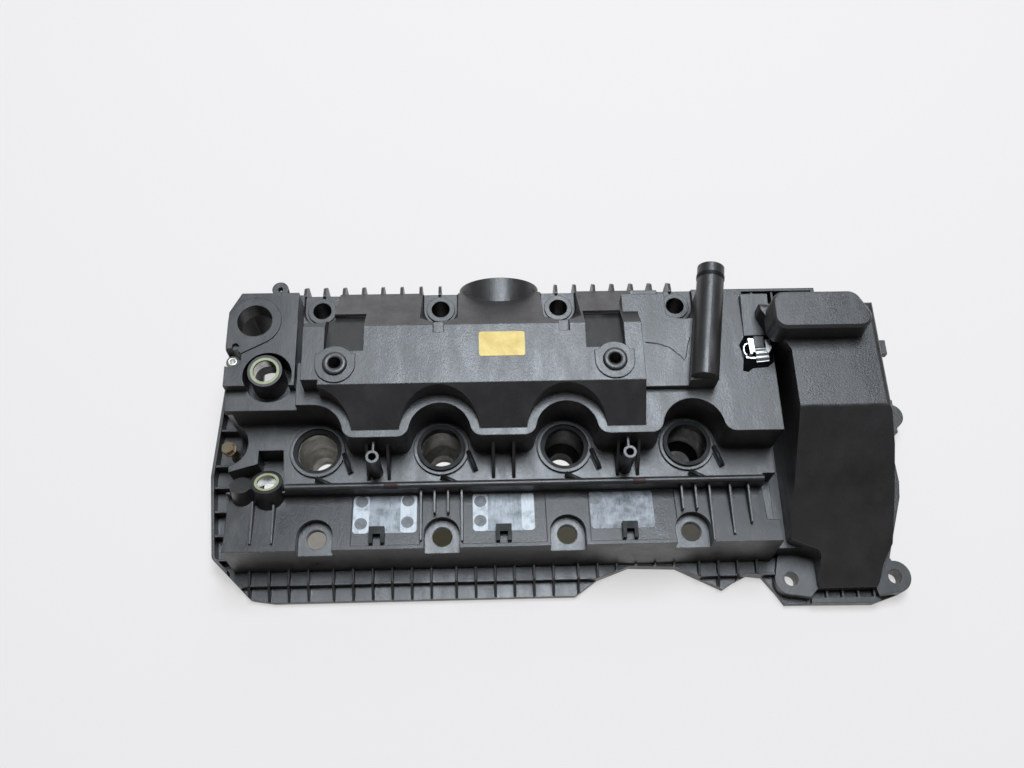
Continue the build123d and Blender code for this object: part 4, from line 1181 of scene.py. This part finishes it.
@dataclass(frozen=True)
class Studio:
    """Floor, backdrop light, lamps, the camera, and discs of painted light and shade."""

    floor_half: float = 6.0
    floor_z: float = -0.0004
    floor_tint: Colour = (0.82, 0.77, 0.745)
    floor_tone: Colour = (0.90, 0.89, 0.885)
    floor_share: float = 0.6
    floor_cloud: float = 0.30
    floor_dim: float = 0.99
    lens: float = 36.52
    sensor: float = 36.0
    clip: Range = (0.01, 60.0)
    stand: Point = (0.12887, -0.29104, 0.83694)
    elevation: float = 65.895
    yaw: float = 4.446
    roll: float = 3.056
    room_tint: Colour = (1.0, 0.985, 0.97)
    room_strength: float = 0.055
    wall_tone: Colour = (0.84, 0.85, 0.86)
    wall_share: float = 0.11
    aim: Point = (0.19, 0.03, 0.0)
    lamps: tuple[Lamp, ...] = (
        Lamp("window", (0.33, 0.74, 2.6), (1.1, 1.4), 83.0, (0.83, 0.915, 1.0)),
        Lamp("back_fill", (0.1, 2.3, 1.5), (1.8, 1.0), 9.0, (0.9, 0.97, 1.0)),
        Lamp("front_fill", (-0.1, -1.7, 1.1), (1.5, 0.8), 0.8, (1.0, 0.95, 0.93)),
    )
    # painted light: white discs under the first wells and in both ports glow for camera rays
    painted_light_white: Colour = (0.86, 0.86, 0.85)
    painted_light_wells: int = 3
    well_floor_z: float = 0.15
    well_floor_r: float = 10.3
    ports: tuple[tuple[str, Point, float], ...] = (
        ("port_floor", (-38.0, 53.5, 0.15), 26.0),
        ("low_port_floor", (-35.9, -26.0, 51.4), 6.0),
    )
    # painted shade: dim discs inside the bolt holes glow with these tones for camera rays
    bolt_y: float = -68.0
    bolt_floor_z: float = 40.0
    bolt_floor_r: float = 7.8
    bolt_painted_shade_tones: tuple[Colour, ...] = (
        (0.27, 0.255, 0.235),
        (0.050, 0.047, 0.031),
        (0.075, 0.072, 0.055),
        (0.085, 0.083, 0.072),
    )

    def camera(self) -> None:
        """Put up the camera and make it the scene's own."""
        e, yaw, roll = (math.radians(a) for a in (self.elevation, self.yaw, self.roll))
        ahead = Vector((math.cos(e) * math.sin(yaw), math.cos(e) * math.cos(yaw), -math.sin(e)))
        right = Vector((math.cos(yaw), -math.sin(yaw), 0.0))
        top = right.cross(ahead)
        across = math.cos(roll) * right + math.sin(roll) * top
        upright = math.cos(roll) * top - math.sin(roll) * right
        turn = Matrix((across, upright, -ahead)).transposed().to_4x4()
        data = bpy.data.cameras.new("camera")
        data.lens, data.sensor_width = self.lens, self.sensor
        data.clip_start, data.clip_end = self.clip
        camera = bpy.data.objects.new("camera", data)
        camera.matrix_world = Matrix.Translation(self.stand) @ turn
        bpy.context.scene.collection.objects.link(camera)
        bpy.context.scene.camera = camera

    def floor(self) -> None:
        """Lay the pale floor, which keeps its tone where it is looked at or mirrored."""
        s = self.floor_half
        mesh = bpy.data.meshes.new("floor")
        mesh.from_pydata([(-s, -s, 0), (s, -s, 0), (s, s, 0), (-s, s, 0)], [], [(0, 1, 2, 3)])
        floor = bpy.data.objects.new("floor", mesh)
        floor.location = (0.0, 0.0, self.floor_z)
        bpy.context.scene.collection.objects.link(floor)
        g = Graph("floor_paper")
        cloud = g.noise(self.floor_cloud)
        paper = g.blend(cloud, self.floor_tint, tuple(c * self.floor_dim for c in self.floor_tint))
        rays = g.add("ShaderNodeLightPath").outputs
        seen = g.math("MAXIMUM", rays["Is Camera Ray"], rays["Is Glossy Ray"])
        seen = g.math("MAXIMUM", seen, rays["Is Transmission Ray"])
        share = g.math("MULTIPLY", seen, self.floor_share)
        mesh.materials.append(g.pale(share, paper, self.floor_tone))

    def room(self) -> None:
        """Give the room its weak light, and its walls the floor's tone where they are seen."""
        world = bpy.data.worlds.new("room")
        g = Graph("room", world)
        weak, walls = g.add("ShaderNodeBackground"), g.add("ShaderNodeBackground")
        g.feed(weak.inputs["Color"], self.room_tint)
        g.feed(weak.inputs["Strength"], self.room_strength)
        g.feed(walls.inputs["Color"], self.wall_tone)
        rays = g.add("ShaderNodeLightPath").outputs
        mirrored = g.math("MULTIPLY", rays["Is Glossy Ray"], self.wall_share)
        seen = g.math("MAXIMUM", rays["Is Camera Ray"], mirrored)
        g.join(seen, weak, walls, "ShaderNodeOutputWorld")
        bpy.context.scene.world = world

    def glimpses(self) -> list[PaintedGlimpse]:
        """List the discs of painted light under wells and ports, and of painted shade in bolt
        holes.

        Returns:
            The pieces, not yet laid.
        """
        found = [
            PaintedGlimpse(f"well_floor_{i}", (x, 0.0, self.well_floor_z), self.well_floor_r, self.painted_light_white)
            for i, x in enumerate(WELLS[: self.painted_light_wells], 1)
        ]
        found += [PaintedGlimpse(*port, self.painted_light_white) for port in self.ports]
        for i, (x, tone) in enumerate(zip(WELLS, self.bolt_painted_shade_tones), 1):
            place = (x, self.bolt_y, self.bolt_floor_z)
            found.append(PaintedGlimpse(f"bolt_hole_floor_{i}", place, self.bolt_floor_r, tone))
        return found

    def build(self) -> None:
        """Put up everything."""
        self.camera()
        self.floor()
        for glimpse in self.glimpses():
            glimpse.lay(self.floor_tint)
        for lamp in self.lamps:
            lamp.hang(self.aim)
        self.room()
        bpy.context.scene.view_settings.view_transform = "Standard"


def dress(nodes: dict[str, bpy.types.Object], slots: dict[str, str]) -> None:
    """Put the finish of its slot on every CAD node.

    Args:
        nodes: The nodes by name.
        slots: The material slot of each node.
    """
    made: dict[str, bpy.types.Material] = {}
    for name, node in nodes.items():
        slot = slots[name]
        if slot not in made:
            made[slot] = NODE_FINISHES[slot].material()
        node.data.materials.clear()
        node.data.materials.append(made[slot])
        LOG.info("node %s wears %s", name, slot)


def main() -> None:
    """Build the looks round the frame."""
    logging.basicConfig(level=logging.INFO, format="%(name)s: %(message)s")
    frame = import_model()
    slots = {row["node"]: row["material_slot"] for row in frame["record"]["subparts"]}
    Studio().build()
    dress(frame["nodes"], slots)
    builder = Builder()
    for part in SMALL_PARTS:
        part.build(builder)
    for piece in builder.pieces:
        LOG.info("piece %s wears %s", piece.name, piece.data.materials[0].name)
    bpy.context.view_layer.update()


if __name__ == "__main__":
    main()
